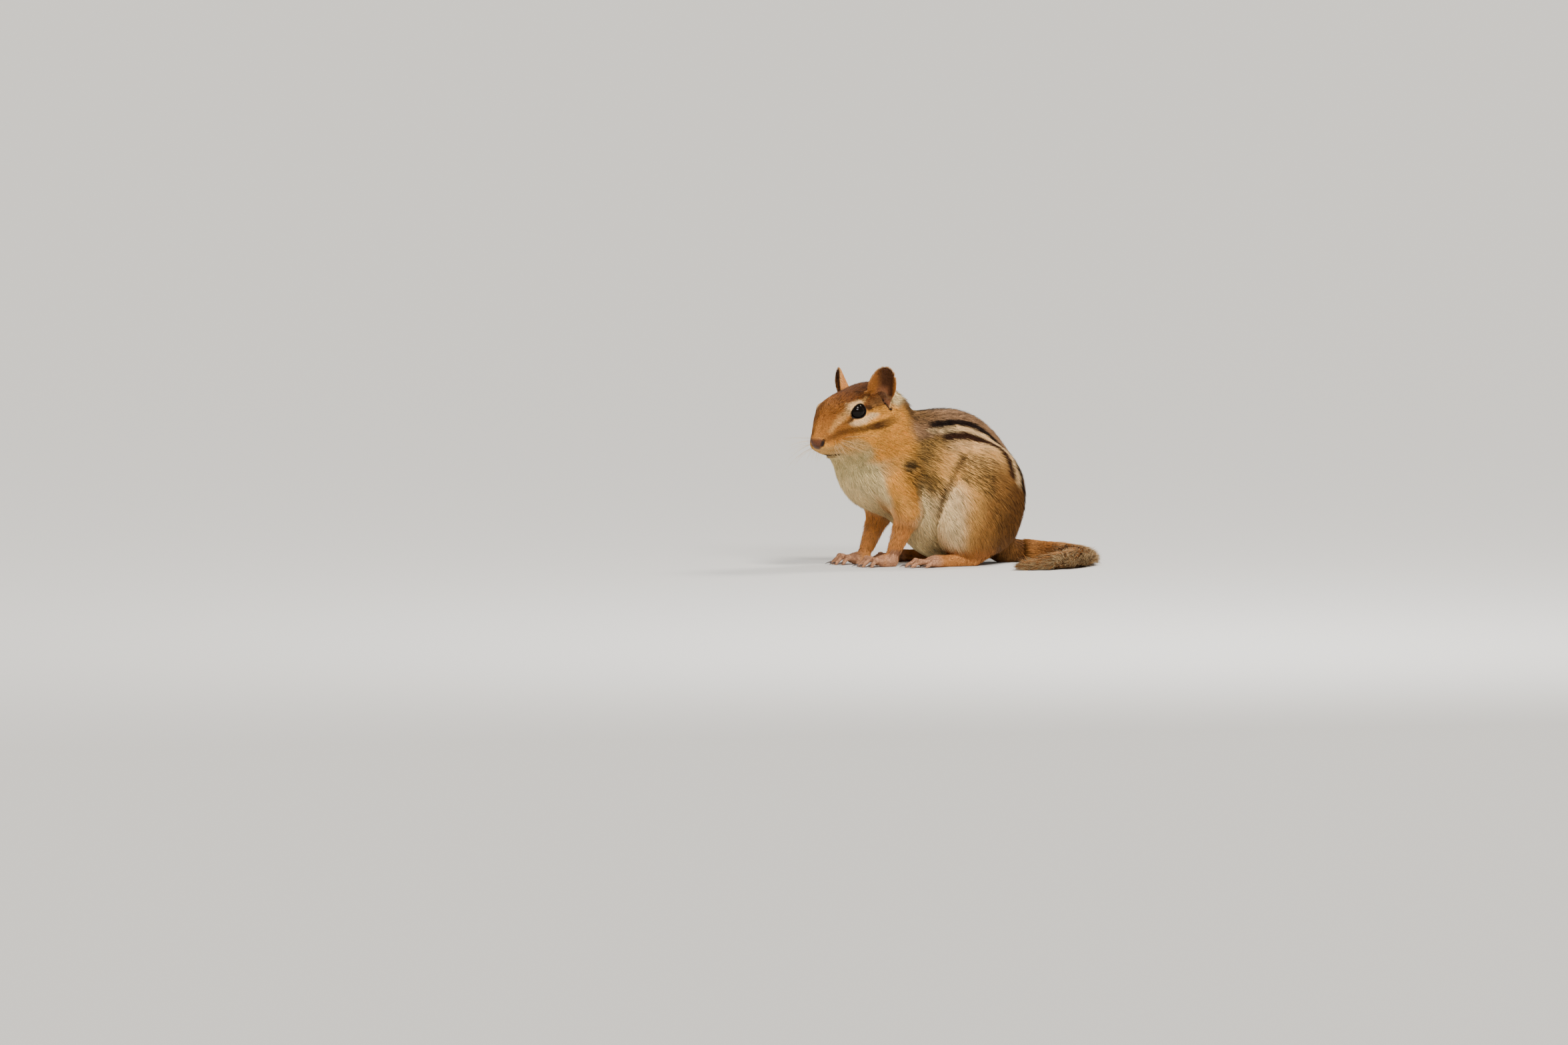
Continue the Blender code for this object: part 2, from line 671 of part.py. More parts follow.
def combine(obj, tool, operation):
    """Applies one Boolean and deletes the tool."""
    cut = obj.modifiers.new("cut", "BOOLEAN")
    cut.operation = operation
    cut.object = tool
    apply_modifiers(obj)
    drop(tool)


def cut_plane(obj, plane, by=0.0, flip=False):
    """Cuts at a plane of the animal's frame, moved along its normal, and closes the cut.

    What lies on the side that the normal points to is removed, or the other side with flip.
    """
    point, normal = plane
    normal = unit(normal)
    place = Vector(np.asarray(point) + normal * by) * MM
    back = obj.matrix_basis.inverted()
    bm = bmesh.new()
    bm.from_mesh(obj.data)
    bmesh.ops.bisect_plane(
        bm,
        geom=bm.verts[:] + bm.edges[:] + bm.faces[:],
        plane_co=back @ place,
        plane_no=back.to_3x3() @ Vector(-normal if flip else normal),
        clear_outer=True,
        dist=1e-7,
    )
    open_edges = [e for e in bm.edges if e.is_boundary]
    caps = bmesh.ops.holes_fill(bm, edges=open_edges)["faces"]
    bmesh.ops.triangulate(bm, faces=caps)
    bm.to_mesh(obj.data)
    bm.free()


def span_of(verts):
    places = np.array([v.co[:] for v in verts])
    return float(np.prod(np.ptp(places, axis=0) + 1e-9))


def keep_largest(obj):
    """Deletes every closed surface of an object but its largest."""
    bm = bmesh.new()
    bm.from_mesh(obj.data)
    left = set(bm.verts)
    pieces = []
    while left:
        piece = {left.pop()}
        edge_of = list(piece)
        while edge_of:
            v = edge_of.pop()
            for e in v.link_edges:
                other = e.other_vert(v)
                if other not in piece:
                    piece.add(other)
                    edge_of.append(other)
        left -= piece
        pieces.append(piece)
    best = max(pieces, key=span_of)
    spare = [v for piece in pieces if piece is not best for v in piece]
    bmesh.ops.delete(bm, geom=spare, context="VERTS")
    bmesh.ops.triangulate(bm, faces=bm.faces[:])
    bm.normal_update()
    bm.to_mesh(obj.data)
    bm.free()


def mesh_object(name, points, faces):
    """An object from points in millimetres, with its faces turned outward."""
    data = bpy.data.meshes.new(name)
    data.from_pydata([tuple(np.asarray(p) * MM) for p in points], [], faces)
    obj = bpy.data.objects.new(name, data)
    bpy.context.scene.collection.objects.link(obj)
    bm = bmesh.new()
    bm.from_mesh(data)
    bmesh.ops.recalc_face_normals(bm, faces=bm.faces[:])
    bmesh.ops.triangulate(bm, faces=bm.faces[:])
    bm.to_mesh(data)
    bm.free()
    return obj


def oval(name, centre, radii, axes, grow=0.0):
    """An ellipsoid object. As a tool it is grown or shrunk by half the gap."""
    bm = bmesh.new()
    size = Matrix.Diagonal([(r + grow) * MM for r in radii] + [1.0])
    bmesh.ops.create_icosphere(bm, subdivisions=3, radius=1.0, matrix=size)
    data = bpy.data.meshes.new(name)
    bm.to_mesh(data)
    bm.free()
    obj = bpy.data.objects.new(name, data)
    obj.matrix_basis = matrix_of((np.asarray(centre, float), np.asarray(axes, float)))
    bpy.context.scene.collection.objects.link(obj)
    return obj


def haunch_oval(side, grow):
    centre, radii, pitch = HAUNCH_CUT
    return oval("tool", mirrored(centre, side), radii, pitched(pitch), grow)


def arm_oval(side, grow):
    centre, radii, pitch = ARM_CUTS[side]
    return oval("tool", centre, radii, pitched(pitch), grow)


def nose_oval(grow):
    return oval("tool", out_of(HEAD, NOSE_CUT[0]), NOSE_CUT[1], HEAD[1], grow)


def ear_plane(side):
    """Point and outward normal of the plane between the skull and an ear."""
    normal = unit(on_side(EAR_CUT[0], side))
    return out_of(HEAD, normal * EAR_CUT[1]), normal @ HEAD[1]


def make_torso():
    obj = skin_mesh("torso", "torso", trunk_field, BODY_BOX)
    cut_plane(obj, NECK_CUT, -GAP / 2)
    for side in SIDES:
        combine(obj, haunch_oval(side, GAP / 2), "DIFFERENCE")
        combine(obj, arm_oval(side, GAP / 2), "DIFFERENCE")
    cut_plane(obj, FLOOR)
    keep_largest(obj)
    return obj


def make_neck():
    obj = skin_mesh("neck", "neck", trunk_field, BODY_BOX)
    cut_plane(obj, NECK_CUT, GAP / 2, flip=True)
    cut_plane(obj, HEAD_CUT, -GAP / 2)
    keep_largest(obj)
    return set_origin(obj, NECK_ENDS[0])


def make_head():
    obj = skin_mesh("head", "head", eared_field, HEAD_BOX, HEAD)
    cut_plane(obj, HEAD_CUT, GAP / 2, flip=True)
    for side in SIDES:
        cut_plane(obj, ear_plane(side), -GAP / 2)
        socket = oval("tool", eye_place(side), (EYE_RADIUS,) * 3, HEAD[1], GAP)
        combine(obj, socket, "DIFFERENCE")
    combine(obj, nose_oval(GAP / 2), "DIFFERENCE")
    keep_largest(obj)
    return obj


def make_nose():
    obj = skin_mesh("nose", "nose", trunk_field, NOSE_BOX, HEAD)
    combine(obj, nose_oval(-GAP / 2), "INTERSECT")
    keep_largest(obj)
    return set_origin(obj, out_of(HEAD, NOSE_CENTRE))


def make_ear(side):
    box = EAR_BOX
    if side == "right":
        (x0, y0, z0), (x1, y1, z1) = EAR_BOX
        box = ((x0, -y1, z0), (x1, -y0, z1))
    obj = skin_mesh(f"ear_{side}", "ear", eared_field, box, HEAD)
    cut_plane(obj, ear_plane(side), GAP / 2, flip=True)
    keep_largest(obj)
    return set_origin(obj, out_of(HEAD, on_side(EAR_ROOT, side)))


def eye_place(side):
    return out_of(HEAD, on_side(EYE_CENTRE, side))


def make_eye(side):
    obj = oval(f"eye_{side}", eye_place(side), (EYE_RADIUS,) * 3, HEAD[1])
    thin = obj.modifiers.new("thin", "DECIMATE")
    thin.ratio = EYE_SHARE
    apply_modifiers(obj)
    return obj


def make_hind_leg(side):
    box = HIND_LEG_BOX
    if side == "right":
        (x0, y0, z0), (x1, y1, z1) = HIND_LEG_BOX
        box = ((-x1, y0, z0), (-x0, y1, z1))
    obj = skin_mesh(f"hindleg_{side}", "hindleg", trunk_field, box)
    combine(obj, haunch_oval(side, -GAP / 2), "INTERSECT")
    combine(obj, grown_foot(side), "DIFFERENCE")
    cut_plane(obj, FLOOR)
    keep_largest(obj)
    return set_origin(obj, mirrored(HAUNCH_CENTRE, side))


def grown_foot(side):
    def grown(p):
        return hind_foot_field(p, side) - GAP

    return skin_mesh("tool", "foot_tool", grown, HIND_FOOT_BOX, foot_frame(side, front=False))


def grown_rump():
    def grown(p):
        return trunk_field(p) - GAP

    return skin_mesh("tool", "rump_tool", grown, RUMP_BOX)


def make_hind_foot(side):
    def field(p):
        return hind_foot_field(p, side)

    frame = foot_frame(side, front=False)
    obj = skin_mesh(f"hindfoot_{side}", "hindfoot", field, HIND_FOOT_BOX, frame)
    cut_plane(obj, FLOOR)
    keep_largest(obj)
    return obj


def make_foreleg(side):
    shoulder, elbow, _ = FORELEGS[side]
    low, high = (np.array(c) + elbow for c in FORE_LEG_BOX)
    obj = skin_mesh(f"foreleg_{side}", "foreleg", trunk_field, (low, high))
    combine(obj, arm_oval(side, -GAP / 2), "INTERSECT")
    cut_plane(obj, ((0.0, 0.0, WRIST_CUT + GAP / 2), (0.0, 0.0, -1.0)))
    keep_largest(obj)
    return set_origin(obj, shoulder)


def make_fore_foot(side):
    def field(p):
        return fore_foot_field(p, side)

    frame = foot_frame(side, front=True)
    obj = skin_mesh(f"forefoot_{side}", "forefoot", field, FORE_FOOT_BOX, frame)
    cut_plane(obj, ((0.0, 0.0, WRIST_CUT - GAP / 2), (0.0, 0.0, 1.0)))
    cut_plane(obj, FLOOR)
    keep_largest(obj)
    return obj


def claw_mesh():
    """A curved cone that starts at its origin and runs along +X."""
    points = []
    for t in (0.0, 0.5, 1.0):
        rise = CLAW_BASE_RISE + CLAW_ARCH * t - CLAW_DROP * t * t
        lean = math.atan2(CLAW_ARCH - 2 * CLAW_DROP * t, CLAW_LENGTH)
        radius = CLAW_RADIUS * (1.0 - CLAW_TAPER * t)
        for k in range(CLAW_SIDES):
            a = 2 * math.pi * k / CLAW_SIDES
            over = radius * math.cos(a)
            points.append((
                CLAW_LENGTH * t - over * math.sin(lean),
                radius * math.sin(a),
                rise + over * math.cos(lean),
            ))
    obj = mesh_object("claw", points, ring_faces(3, CLAW_SIDES))
    data = obj.data
    bpy.data.objects.remove(obj)
    return data


def ring_faces(rings, sides):
    """Faces of a closed tube whose points come ring by ring."""
    faces = [tuple(range(sides)), tuple(range((rings - 1) * sides, rings * sides))]
    for i in range(rings - 1):
        for k in range(sides):
            a, b = i * sides + k, i * sides + (k + 1) % sides
            faces.append((a, b, b + sides, a + sides))
    return faces


def make_claws(side, front, data):
    """A claw on each toe, all sharing one mesh, just clear of the toe's flat end."""
    origin, axes = foot_frame(side, front)
    kind = "fore" if front else "hind"
    claws = []
    for number, joints in enumerate(FORE_FINGERS if front else HIND_TOES, 1):
        ahead = claw_direction(joints)
        start = np.array(joints[2]) + ahead * (TOE_END + GAP)
        forward = on_side(ahead, side) @ axes
        left = np.cross((0.0, 0.0, 1.0), forward)
        place = (origin + on_side(start, side) @ axes, np.array((forward, left, (0.0, 0.0, 1.0))))
        obj = bpy.data.objects.new(f"claw_{kind}_{side}_{number}", data)
        obj.matrix_basis = matrix_of(place)
        bpy.context.scene.collection.objects.link(obj)
        claws.append(obj)
    return claws


def on_tail(along, out, angle):
    """The place a distance along the tail, and a distance out from its middle at an angle.

    The angle starts level at the tail's left and turns up. Past its end the tail runs straight on.
    """
    points, length = tail_curve(200)
    at = along / length * (len(points) - 1)
    i = int(np.clip(at, 0, len(points) - 2))
    step = points[i + 1] - points[i]
    ahead = unit(step)
    level = points[i] + step * (at - i) + np.array((-ahead[1], ahead[0])) * out * math.cos(angle)
    height = size_at(TAIL_CORE_HEIGHTS, min(along / length, 1.0)) - TAIL_SINK
    return np.array((*level, height + out * math.sin(angle)))


def make_lock(along, angle, length, turn, tail_length):
    """A flat blade that leaves the core steeply and bends back to lie along the tail."""
    share = (along + length) / (tail_length + LOCK_LENGTH)
    side = size_at(LOCK_SIDE_REACH, share)
    top = size_at(LOCK_TOP_REACH, share)
    reach = 1.0 / math.hypot(math.cos(angle) / side, math.sin(angle) / top)
    lying = max(0.0, 1.0 - abs(math.sin(angle)) / math.sin(math.radians(LOCK_LYING)))

    def path(t):
        out = LOCK_ROOT + (reach - LOCK_ROOT) * (1.0 - (1.0 - t) ** LOCK_CURL)
        return on_tail(along + length * t, out, angle + turn * t)

    points = []
    for t in LOCK_RINGS:
        middle = path(t)
        ahead = unit(path(t + 0.02) - middle)
        outward = unit(middle - on_tail(along + length * t, 0.0, angle))
        across = unit(np.cross(ahead, outward * (1.0 - lying) + np.array((0.0, 0.0, lying + 1e-6))))
        raised = np.cross(across, ahead)
        wide = LOCK_HALF_WIDTH * (0.8 + 0.9 * t - 1.1 * t * t)
        thin = 1.3 - 0.5 * t
        keel = raised * LOCK_KEEL * thin
        points += [
            middle + across * wide - keel,
            middle + raised * LOCK_RIDGE * thin,
            middle - across * wide - keel,
        ]
    points.append(path(1.0))
    points = np.array(points)
    points[:, 2] = np.maximum(points[:, 2], LOCK_FLOOR_CLEARANCE)
    tip = len(points) - 1
    faces = ring_faces(len(LOCK_RINGS), 3)[:1] + ring_faces(len(LOCK_RINGS), 3)[2:]
    faces += [(tip - 3 + k, tip - 3 + (k + 1) % 3, tip) for k in range(3)]
    return mesh_object("lock", points, faces)


def make_locks():
    """Staggered rows of locks all round the tail but under it."""
    rng = np.random.default_rng(LOCK_SEED)
    _, tail_length = tail_curve(2)
    last = tail_length - LOCK_END_MARGIN
    stagger = (last - LOCK_START) / LOCK_ROWS / 2
    locks = []
    for along in np.linspace(LOCK_START, last, LOCK_ROWS):
        for k, degrees in enumerate(LOCK_ANGLES):
            w = {name: most * rng.uniform(-1.0, 1.0) for name, most in LOCK_WOBBLE.items()}
            start = along + stagger * (k % 2) + w["place"]
            angle = math.radians(degrees + w["angle"])
            locks.append(make_lock(start, angle, LOCK_LENGTH + w["length"], w["turn"], tail_length))
    return locks


def fuse(obj, others):
    """Joins closed objects to one by a single Boolean on a collection, and deletes them."""
    group = bpy.data.collections.new("group")
    for other in others:
        group.objects.link(other)
        bpy.context.scene.collection.objects.unlink(other)
    join = obj.modifiers.new("join", "BOOLEAN")
    join.operation = "UNION"
    join.operand_type = "COLLECTION"
    join.solver = "MANIFOLD"
    join.collection = group
    apply_modifiers(obj)
    for other in others:
        drop(other)
    bpy.data.collections.remove(group)


def make_tail():
    """Core and locks as one body, then cut square across into lengths."""
    whole = skin_mesh("tail", "tail", tail_core_field, TAIL_BOX)
    fuse(whole, make_locks())
    keep_largest(whole)
    cut_plane(whole, FLOOR)
    points, _ = tail_curve(len(TAIL_LENGTHS) * 20 + 1)
    cuts = []
    for i in range(0, len(points) - 1, 20):
        ahead = unit(points[i + 1] - points[max(i - 1, 0)])
        cuts.append((np.array((*points[i], 0.0)), np.array((*ahead, 0.0))))
    lengths = []
    for number, name in enumerate(TAIL_LENGTHS):
        obj = bpy.data.objects.new(f"tail_{name}", whole.data.copy())
        bpy.context.scene.collection.objects.link(obj)
        for k, plane in enumerate(cuts[1:], 1):
            if number < k:
                cut_plane(obj, plane, -GAP / 2)
            else:
                cut_plane(obj, plane, GAP / 2, flip=True)
        if number == 0:
            combine(obj, grown_rump(), "DIFFERENCE")
        keep_largest(obj)
        lengths.append(set_origin(obj, cuts[number][0]))
    drop(whole)
    return lengths


def set_origin(obj, point):
    """Moves an object's origin to a point of the animal's frame, and leaves its shape in place."""
    old = obj.matrix_basis.copy()
    new = old.copy()
    new.translation = Vector(point) * MM
    obj.data.transform(new.inverted() @ old)
    obj.matrix_basis = new
    return obj


def material(name):
    colour, roughness = FINISHES[name]
    made = bpy.data.materials.new(name)
    made.use_nodes = True
    shader = made.node_tree.nodes["Principled BSDF"]
    shader.inputs["Base Color"].default_value = (*colour, 1.0)
    shader.inputs["Roughness"].default_value = roughness
    shader.inputs["Metallic"].default_value = 0.0
    return made


def finish(objects, kind):
    """Gives nodes of one kind their material and smooth shading."""
    made = material(kind)
    for obj in objects:
        obj.data.materials.clear()
        obj.data.materials.append(made)
        obj.data.shade_smooth()
        obj.data.set_sharp_from_angle(angle=math.radians(SMOOTH_ANGLE))


def gather():
    """Parents every node to one empty, placed so that the origin is under the whole part's middle."""
    nodes = bpy.context.scene.collection.objects[:]
    animal = bpy.data.objects.new("chipmunk", None)
    bpy.context.scene.collection.objects.link(animal)
    places = np.array([(obj.matrix_basis @ v.co)[:] for obj in nodes for v in obj.data.vertices])
    middle = (places.min(0) + places.max(0)) / 2
    animal.location = (-middle[0], -middle[1], 0.0)
    for obj in nodes:
        obj.parent = animal


def main():
    for obj in list(bpy.data.objects):
        bpy.data.objects.remove(obj)
    finish([make_torso(), make_neck()], "back_fur")
    finish([make_head()], "head_fur")
    finish([make_nose()], "nose")
    finish([make_ear(side) for side in SIDES], "ear")
    finish([make_eye(side) for side in SIDES], "eye")
    finish([make_hind_leg(side) for side in SIDES], "haunch_fur")
    finish([make_foreleg(side) for side in SIDES], "foreleg_fur")
    finish([make_hind_foot(side) for side in SIDES], "foot")
    finish([make_fore_foot(side) for side in SIDES], "foot")
    finish(make_tail(), "tail_fur")
    data = claw_mesh()
    claws = [c for side in SIDES for front in (True, False) for c in make_claws(side, front, data)]
    finish(claws, "claw")
    gather()


if __name__ == "__main__":
    main()
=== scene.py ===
"""Looks of the chipmunk: one skin, a coat of fine tufts, eyes, claws and whiskers, in a plain studio.

The skin is the animal's own distance field, set inside the solids by the depth of the coat. Each
tuft is a thin closed wedge whose middle and tip are held at a height over that field, so the coat
follows the body. Skin and tufts take their colours from the same functions of place. Lengths are
millimetres in the animal's own frame, which faces -Y with its left at +X, until a mesh is made.
"""

import math

import bmesh
import bpy
import numpy as np
from mathutils import Matrix, Vector


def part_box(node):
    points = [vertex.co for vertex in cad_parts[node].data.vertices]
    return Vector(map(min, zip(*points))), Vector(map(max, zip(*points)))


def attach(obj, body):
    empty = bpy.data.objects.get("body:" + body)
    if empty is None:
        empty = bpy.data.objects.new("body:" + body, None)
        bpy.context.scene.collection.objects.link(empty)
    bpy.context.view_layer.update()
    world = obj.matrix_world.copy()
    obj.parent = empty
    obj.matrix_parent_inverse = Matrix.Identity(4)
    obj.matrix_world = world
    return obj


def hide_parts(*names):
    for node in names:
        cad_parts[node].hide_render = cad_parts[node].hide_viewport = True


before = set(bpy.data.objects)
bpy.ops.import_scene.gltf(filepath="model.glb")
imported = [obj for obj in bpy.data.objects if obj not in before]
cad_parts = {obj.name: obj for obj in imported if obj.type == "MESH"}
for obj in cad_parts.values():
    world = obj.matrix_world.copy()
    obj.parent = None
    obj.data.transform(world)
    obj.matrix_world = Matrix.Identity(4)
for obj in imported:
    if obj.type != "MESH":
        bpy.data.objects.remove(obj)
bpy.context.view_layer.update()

MM = 0.001
SIDES = {"left": 1, "right": -1}
FEET = [(side, front) for side in SIDES for front in (True, False)]
UP = np.array((0, 0, 1))

# Torso: centre (y, z), radii (x, y, z) and pitch in degrees, nose up.
RUMP = ((11, 25), (20, 27.5, 25.3), 0)
BACK = ((4, 36.6), (19, 27.5, 26.6), 0)
CHEST = ((-22, 39.5), (17, 20.5, 18.5), 25)
TORSO_BLEND = 8
NECK_ENDS = ((0, -27.5, 57), (0, -13, 45.5))
NECK_RADII = (13.2, 17.2)
NECK_BLEND = 7
HEAD_BLEND = 8

# Left legs: the haunch with its shank, and each foreleg's shoulder, elbow and wrist.
HAUNCH_CENTRE = (14.5, 14, 24.5)
HAUNCH_RADII = (11.5, 18.5, 24)
HAUNCH_PITCH = 22
KNEE = (17.5, 2.5, 18)
HEEL = (18, 10, 4.2)
SHANK_RADII = (5.6, 3.6)
SHANK_BLEND = 4
HAUNCH_BLENDS = (1.3, 8)
HAUNCH_BLEND_RISE = (5, 16)
FORELEGS = {
    "left": ((11, -20.5, 33), (12.8, -16, 21), (11, -21.5, 5.2)),
    "right": ((-11, -22, 33), (-12.3, -18.5, 21), (-9, -26, 5.2)),
}
UPPER_ARM_RADII = (8.5, 5.6)
FOREARM_RADII = (5.4, 2.6)
ELBOW_BLEND = 3
ARM_BLEND = 3

# Feet: the origin of each is on the floor under its heel or wrist, and toe_out is in degrees.
HIND_FOOT_ORIGIN = (18.5, 9.5)
HIND_TOE_OUT = 5
FORE_TOE_OUT = {"left": 4, "right": -8}
HIND_SOLE = ((0, 0, 2.5), (16.5, 0.3, 2.2), 2.7, 2.3)
HIND_PAD = ((16.5, 0.3, 2), (4.8, 4.4, 2.2))
HIND_TOES = (
    ((15, -3, 1.7), (18, -4.1, 2), (20.6, -4.6, 0.8)),
    ((19, -2.1, 1.9), (23.5, -3, 2.5), (27.2, -3.4, 0.8)),
    ((19.8, -0.2, 2), (24.8, -0.5, 2.7), (28.8, -0.7, 0.8)),
    ((19.4, 1.7, 1.9), (24.2, 2.4, 2.5), (27.9, 2.7, 0.8)),
    ((15.5, 3.2, 1.7), (19.5, 4.8, 2.1), (22.8, 5.5, 0.8)),
)
FORE_PAD = ((3.8, 0, 2.4), (4.4, 3.5, 2.4))
FORE_HEEL = ((0, 0, 2), (3, 0, 2), 2, 2.2)
FORE_THUMB = ((3.6, -2.6, 1.5), (5.6, -3.9, 1), 1.1, 0.9)
FORE_FINGERS = (
    ((6.6, -2.4, 2.4), (9.8, -3.5, 3.1), (12.6, -4.2, 0.8)),
    ((7.4, -0.9, 2.6), (11.2, -1.3, 3.5), (14.4, -1.6, 0.8)),
    ((7.3, 0.9, 2.6), (11, 1.5, 3.5), (14.2, 1.9, 0.8)),
    ((6.4, 2.4, 2.4), (9.2, 3.8, 3), (11.8, 4.8, 0.8)),
)
TOE_RADII = (1.1, 0.9, 0.75)
FINGER_RADII = (1.05, 0.9, 0.75)
KNUCKLE = 0.22
TOE_BLEND = 0.6
PAD_BLEND = 1.8
FOOT_JOIN = 2.2

# Claws: length from inside the toe, base radius, rise at the middle and drop at the tip.
CLAW_LENGTH = 3
CLAW_RADIUS = 0.5
CLAW_ARCH = 0.55
CLAW_DROP = 1.15
CLAW_RINGS = 9
CLAW_SIDES = 10

# Head frame, and the skull in it as (forward, left, up).
HEAD_ORIGIN = (2, -28.4, 61.9)
HEAD_YAW = 26
HEAD_PITCH = 12
HEAD_ROLL = 3
CRANIUM = ((1.5, 0, 0.8), (15.5, 13, 11.7))
FACE = ((13, 0, 0.9), (15.7, 11.2, 11.1), 4)
MUZZLE = ((12, 0, -2), (26.7, 0, -3.7), 10.6, 5.8, 5)
JAW = ((8, 0, -9), (26.2, 0, -9), 9, 3.3, 3)
CHEEK = ((8, 7.3, -7), (13, 8, 9.8), 4.5)
LIP_PAD = ((25.3, 3.3, -5.6), (6.6, 3.6, 3.6), 2.5)

# Eyes, and the lids: a swelling round each ball, open along an almond. It reaches to the front
# corner, the rear corner and either edge by these lengths, and its powers shape the ends and edges.
EYE_CENTRE = (16.2, 9, 4.4)
EYE_AXIS = (0.34, 0.92, 0.18)
EYE_SLANT = (1, 0, -0.3)
EYE_RADIUS = 3.6
EYE_BED = 3.2
LID_REACH = (3.5, 3.3, 2.35, 2.85)
LID_POWERS = (1.6, 2.2, 1.9)
LID_RADIUS = 4
LID_EDGE = 0.35
LID_BLEND = 1.5

# Nose pad as (centre, radii), nostrils and cleft as (ends, depth, width), and mouth.
NOSE = ((31.2, 0, -4.1), (3, 3.2, 2.7))
NOSE_BLEND = 1.6
NOSTRIL = ((32.8, 2.9, -5.7), (32.3, 3.7, -3.7), 1.3, 0.62)
PHILTRUM = ((34.4, 0, -5), (33, 0, -8.4), 0.45, 0.3)
MOUTH_REACH = 21.5
MOUTH_END = 32
MOUTH_FADE = 1.8
MOUTH_HEIGHT = -9.3
MOUTH_SAG = 2.5
MOUTH_DEPTH = 0.9
MOUTH_WIDTH = 0.45

# Ears.
EAR_ROOT = (1.6, 9.6, 5.2)
EAR_TIP = (0.2, 13, 19)
EAR_OPENING = (0.75, 0.62, 0.2)
EAR_HALF_WIDTH = 5.7
EAR_THICK = 0.9
EAR_ROOT_THICK = 0.5
EAR_LEAN = 0.12
EAR_CUP = (0.12, 0.07)
EAR_BEND = 0.006
EAR_SET_BACK = 1.6
EAR_COLLAR = ((0, -2, -1), (0, 1.6, -1.2), 3.6, 2.2)
EAR_COLLAR_BLEND = 1.5
EAR_BLEND = 1.2
EAR_NOTCH = ((2.5, 11.6, 5.6), (1.1, 13.3, 1.6), 2.2, 1.15)
EAR_HOLLOW = ((0.9, 11.6, 8.4), (1.3, 13.2, 2.4), 3, 1.3)

# Tail: its middle line on the floor as (x, y), then the core's half sizes from root to tip.
TAIL_LINE = (
    (0, 30),
    (1.5, 42),
    (10, 51.5),
    (24, 53.5),
    (37.5, 47),
    (46.5, 35.5),
    (49.5, 22.5),
)
TAIL_CORE_WIDTHS = (5, 4.2, 3.7, 3.5, 3.3, 2.9, 1.2)
TAIL_CORE_HEIGHTS = (5, 3.6, 3.1, 3, 2.9, 2.6, 1.2)
TAIL_JOIN = 5

# Depth of the coat over the skin on the body, at the floor, and along the head from nape to nose.
BODY_DEPTH = 2
LOW_DEPTH = 0.4
LOW_DEPTH_RISE = (4, 20)
HEAD_DEPTH_AT = (-6, 6, 15, 23, 29, 31.5)
HEAD_DEPTHS = (1.8, 1.2, 0.75, 0.5, 0.3, 0.05)
CHEEK_DEPTH = 0.4
LID_DEPTH_REACH = (4.3, 7.5)
FOOT_DEPTH = 0.1

# Skin mesh: the grid's box and cell, and how far the skin stays over the floor.
SKIN_LOW = (-31, -66, -1.6)
SKIN_HIGH = (56, 60, 84)
SKIN_CELL = 0.6
FLOOR_CLEARANCE = 0.12


def unit(v):
    v = np.asarray(v, float)
    return v / np.maximum(np.linalg.norm(v, axis=-1, keepdims=True), 1e-9)


def mirrored(point, side):
    """A point given for the left, across X, on the named side."""
    return np.array((SIDES[side] * point[0], point[1], point[2]))


def on_side(point, side):
    """A head or foot point given for the left, across its second axis, on the named side."""
    return np.array((point[0], SIDES[side] * point[1], point[2]))


def between(a, b, share):
    """A value the given share of the way from a to b."""
    return a + (b - a) * share


def level_axes(turn):
    """Directions ahead and to the left on the floor, for a turn to the left from -Y."""
    ahead = np.array((math.sin(turn), -math.cos(turn), 0))
    return ahead, np.array((math.cos(turn), math.sin(turn), 0))


def head_frame():
    """The head's origin, and rows for its forward, left and up directions."""
    yaw, pitch, roll = (math.radians(a) for a in (HEAD_YAW, HEAD_PITCH, HEAD_ROLL))
    level, left = level_axes(yaw)
    forward = level * math.cos(pitch) - UP * math.sin(pitch)
    up = np.cross(forward, left)
    rolled_left = left * math.cos(roll) + up * math.sin(roll)
    rolled_up = up * math.cos(roll) - left * math.sin(roll)
    return np.array(HEAD_ORIGIN), np.array((forward, rolled_left, rolled_up))


HEAD = head_frame()


def foot_frame(side, front):
    """Origin on the floor, and rows for the foot's forward, left and up directions."""
    sign = SIDES[side]
    x, y = FORELEGS[side][2][:2] if front else (sign * HIND_FOOT_ORIGIN[0], HIND_FOOT_ORIGIN[1])
    toe_out = FORE_TOE_OUT[side] if front else HIND_TOE_OUT
    return np.array((x, y, 0)), np.array((*level_axes(math.radians(toe_out) * sign), UP))


def into(place, p):
    """Points of the animal's frame in another frame."""
    return (p - place[0]) @ place[1].T


def out_of(place, p):
    """Points of another frame in the animal's frame."""
    return place[0] + np.asarray(p, float) @ place[1]


def eye_place(side):
    return out_of(HEAD, on_side(EYE_CENTRE, side))


def middle_of(node):
    low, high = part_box(node)
    return (np.array(low) + np.array(high)) / 2 / MM


def shift_of_frame():
    """How far the animal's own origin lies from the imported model's, read from where its eyes are."""
    moves = [eye_place(side) - middle_of(f"eye_{side}") for side in SIDES]
    return np.mean(moves, axis=0) * (1, 1, 0)


SHIFT = shift_of_frame()


def smooth(low, high, x):
    """Smooth step from 0 at low to 1 at high."""
    t = np.clip((x - low) / (high - low), 0, 1)
    return t * t * (3 - 2 * t)


def ellipsoid(p, centre, radii, axes=None):
    """Signed distance, close to true near the surface. The rows of axes are its own directions."""
    q = p - np.asarray(centre, float)
    if axes is not None:
        q = q @ np.asarray(axes).T
    radii = np.asarray(radii, float)
    near = np.linalg.norm(q / radii, axis=-1)
    steep = np.linalg.norm(q / radii**2, axis=-1)
    return near * (near - 1) / np.maximum(steep, 1e-9)


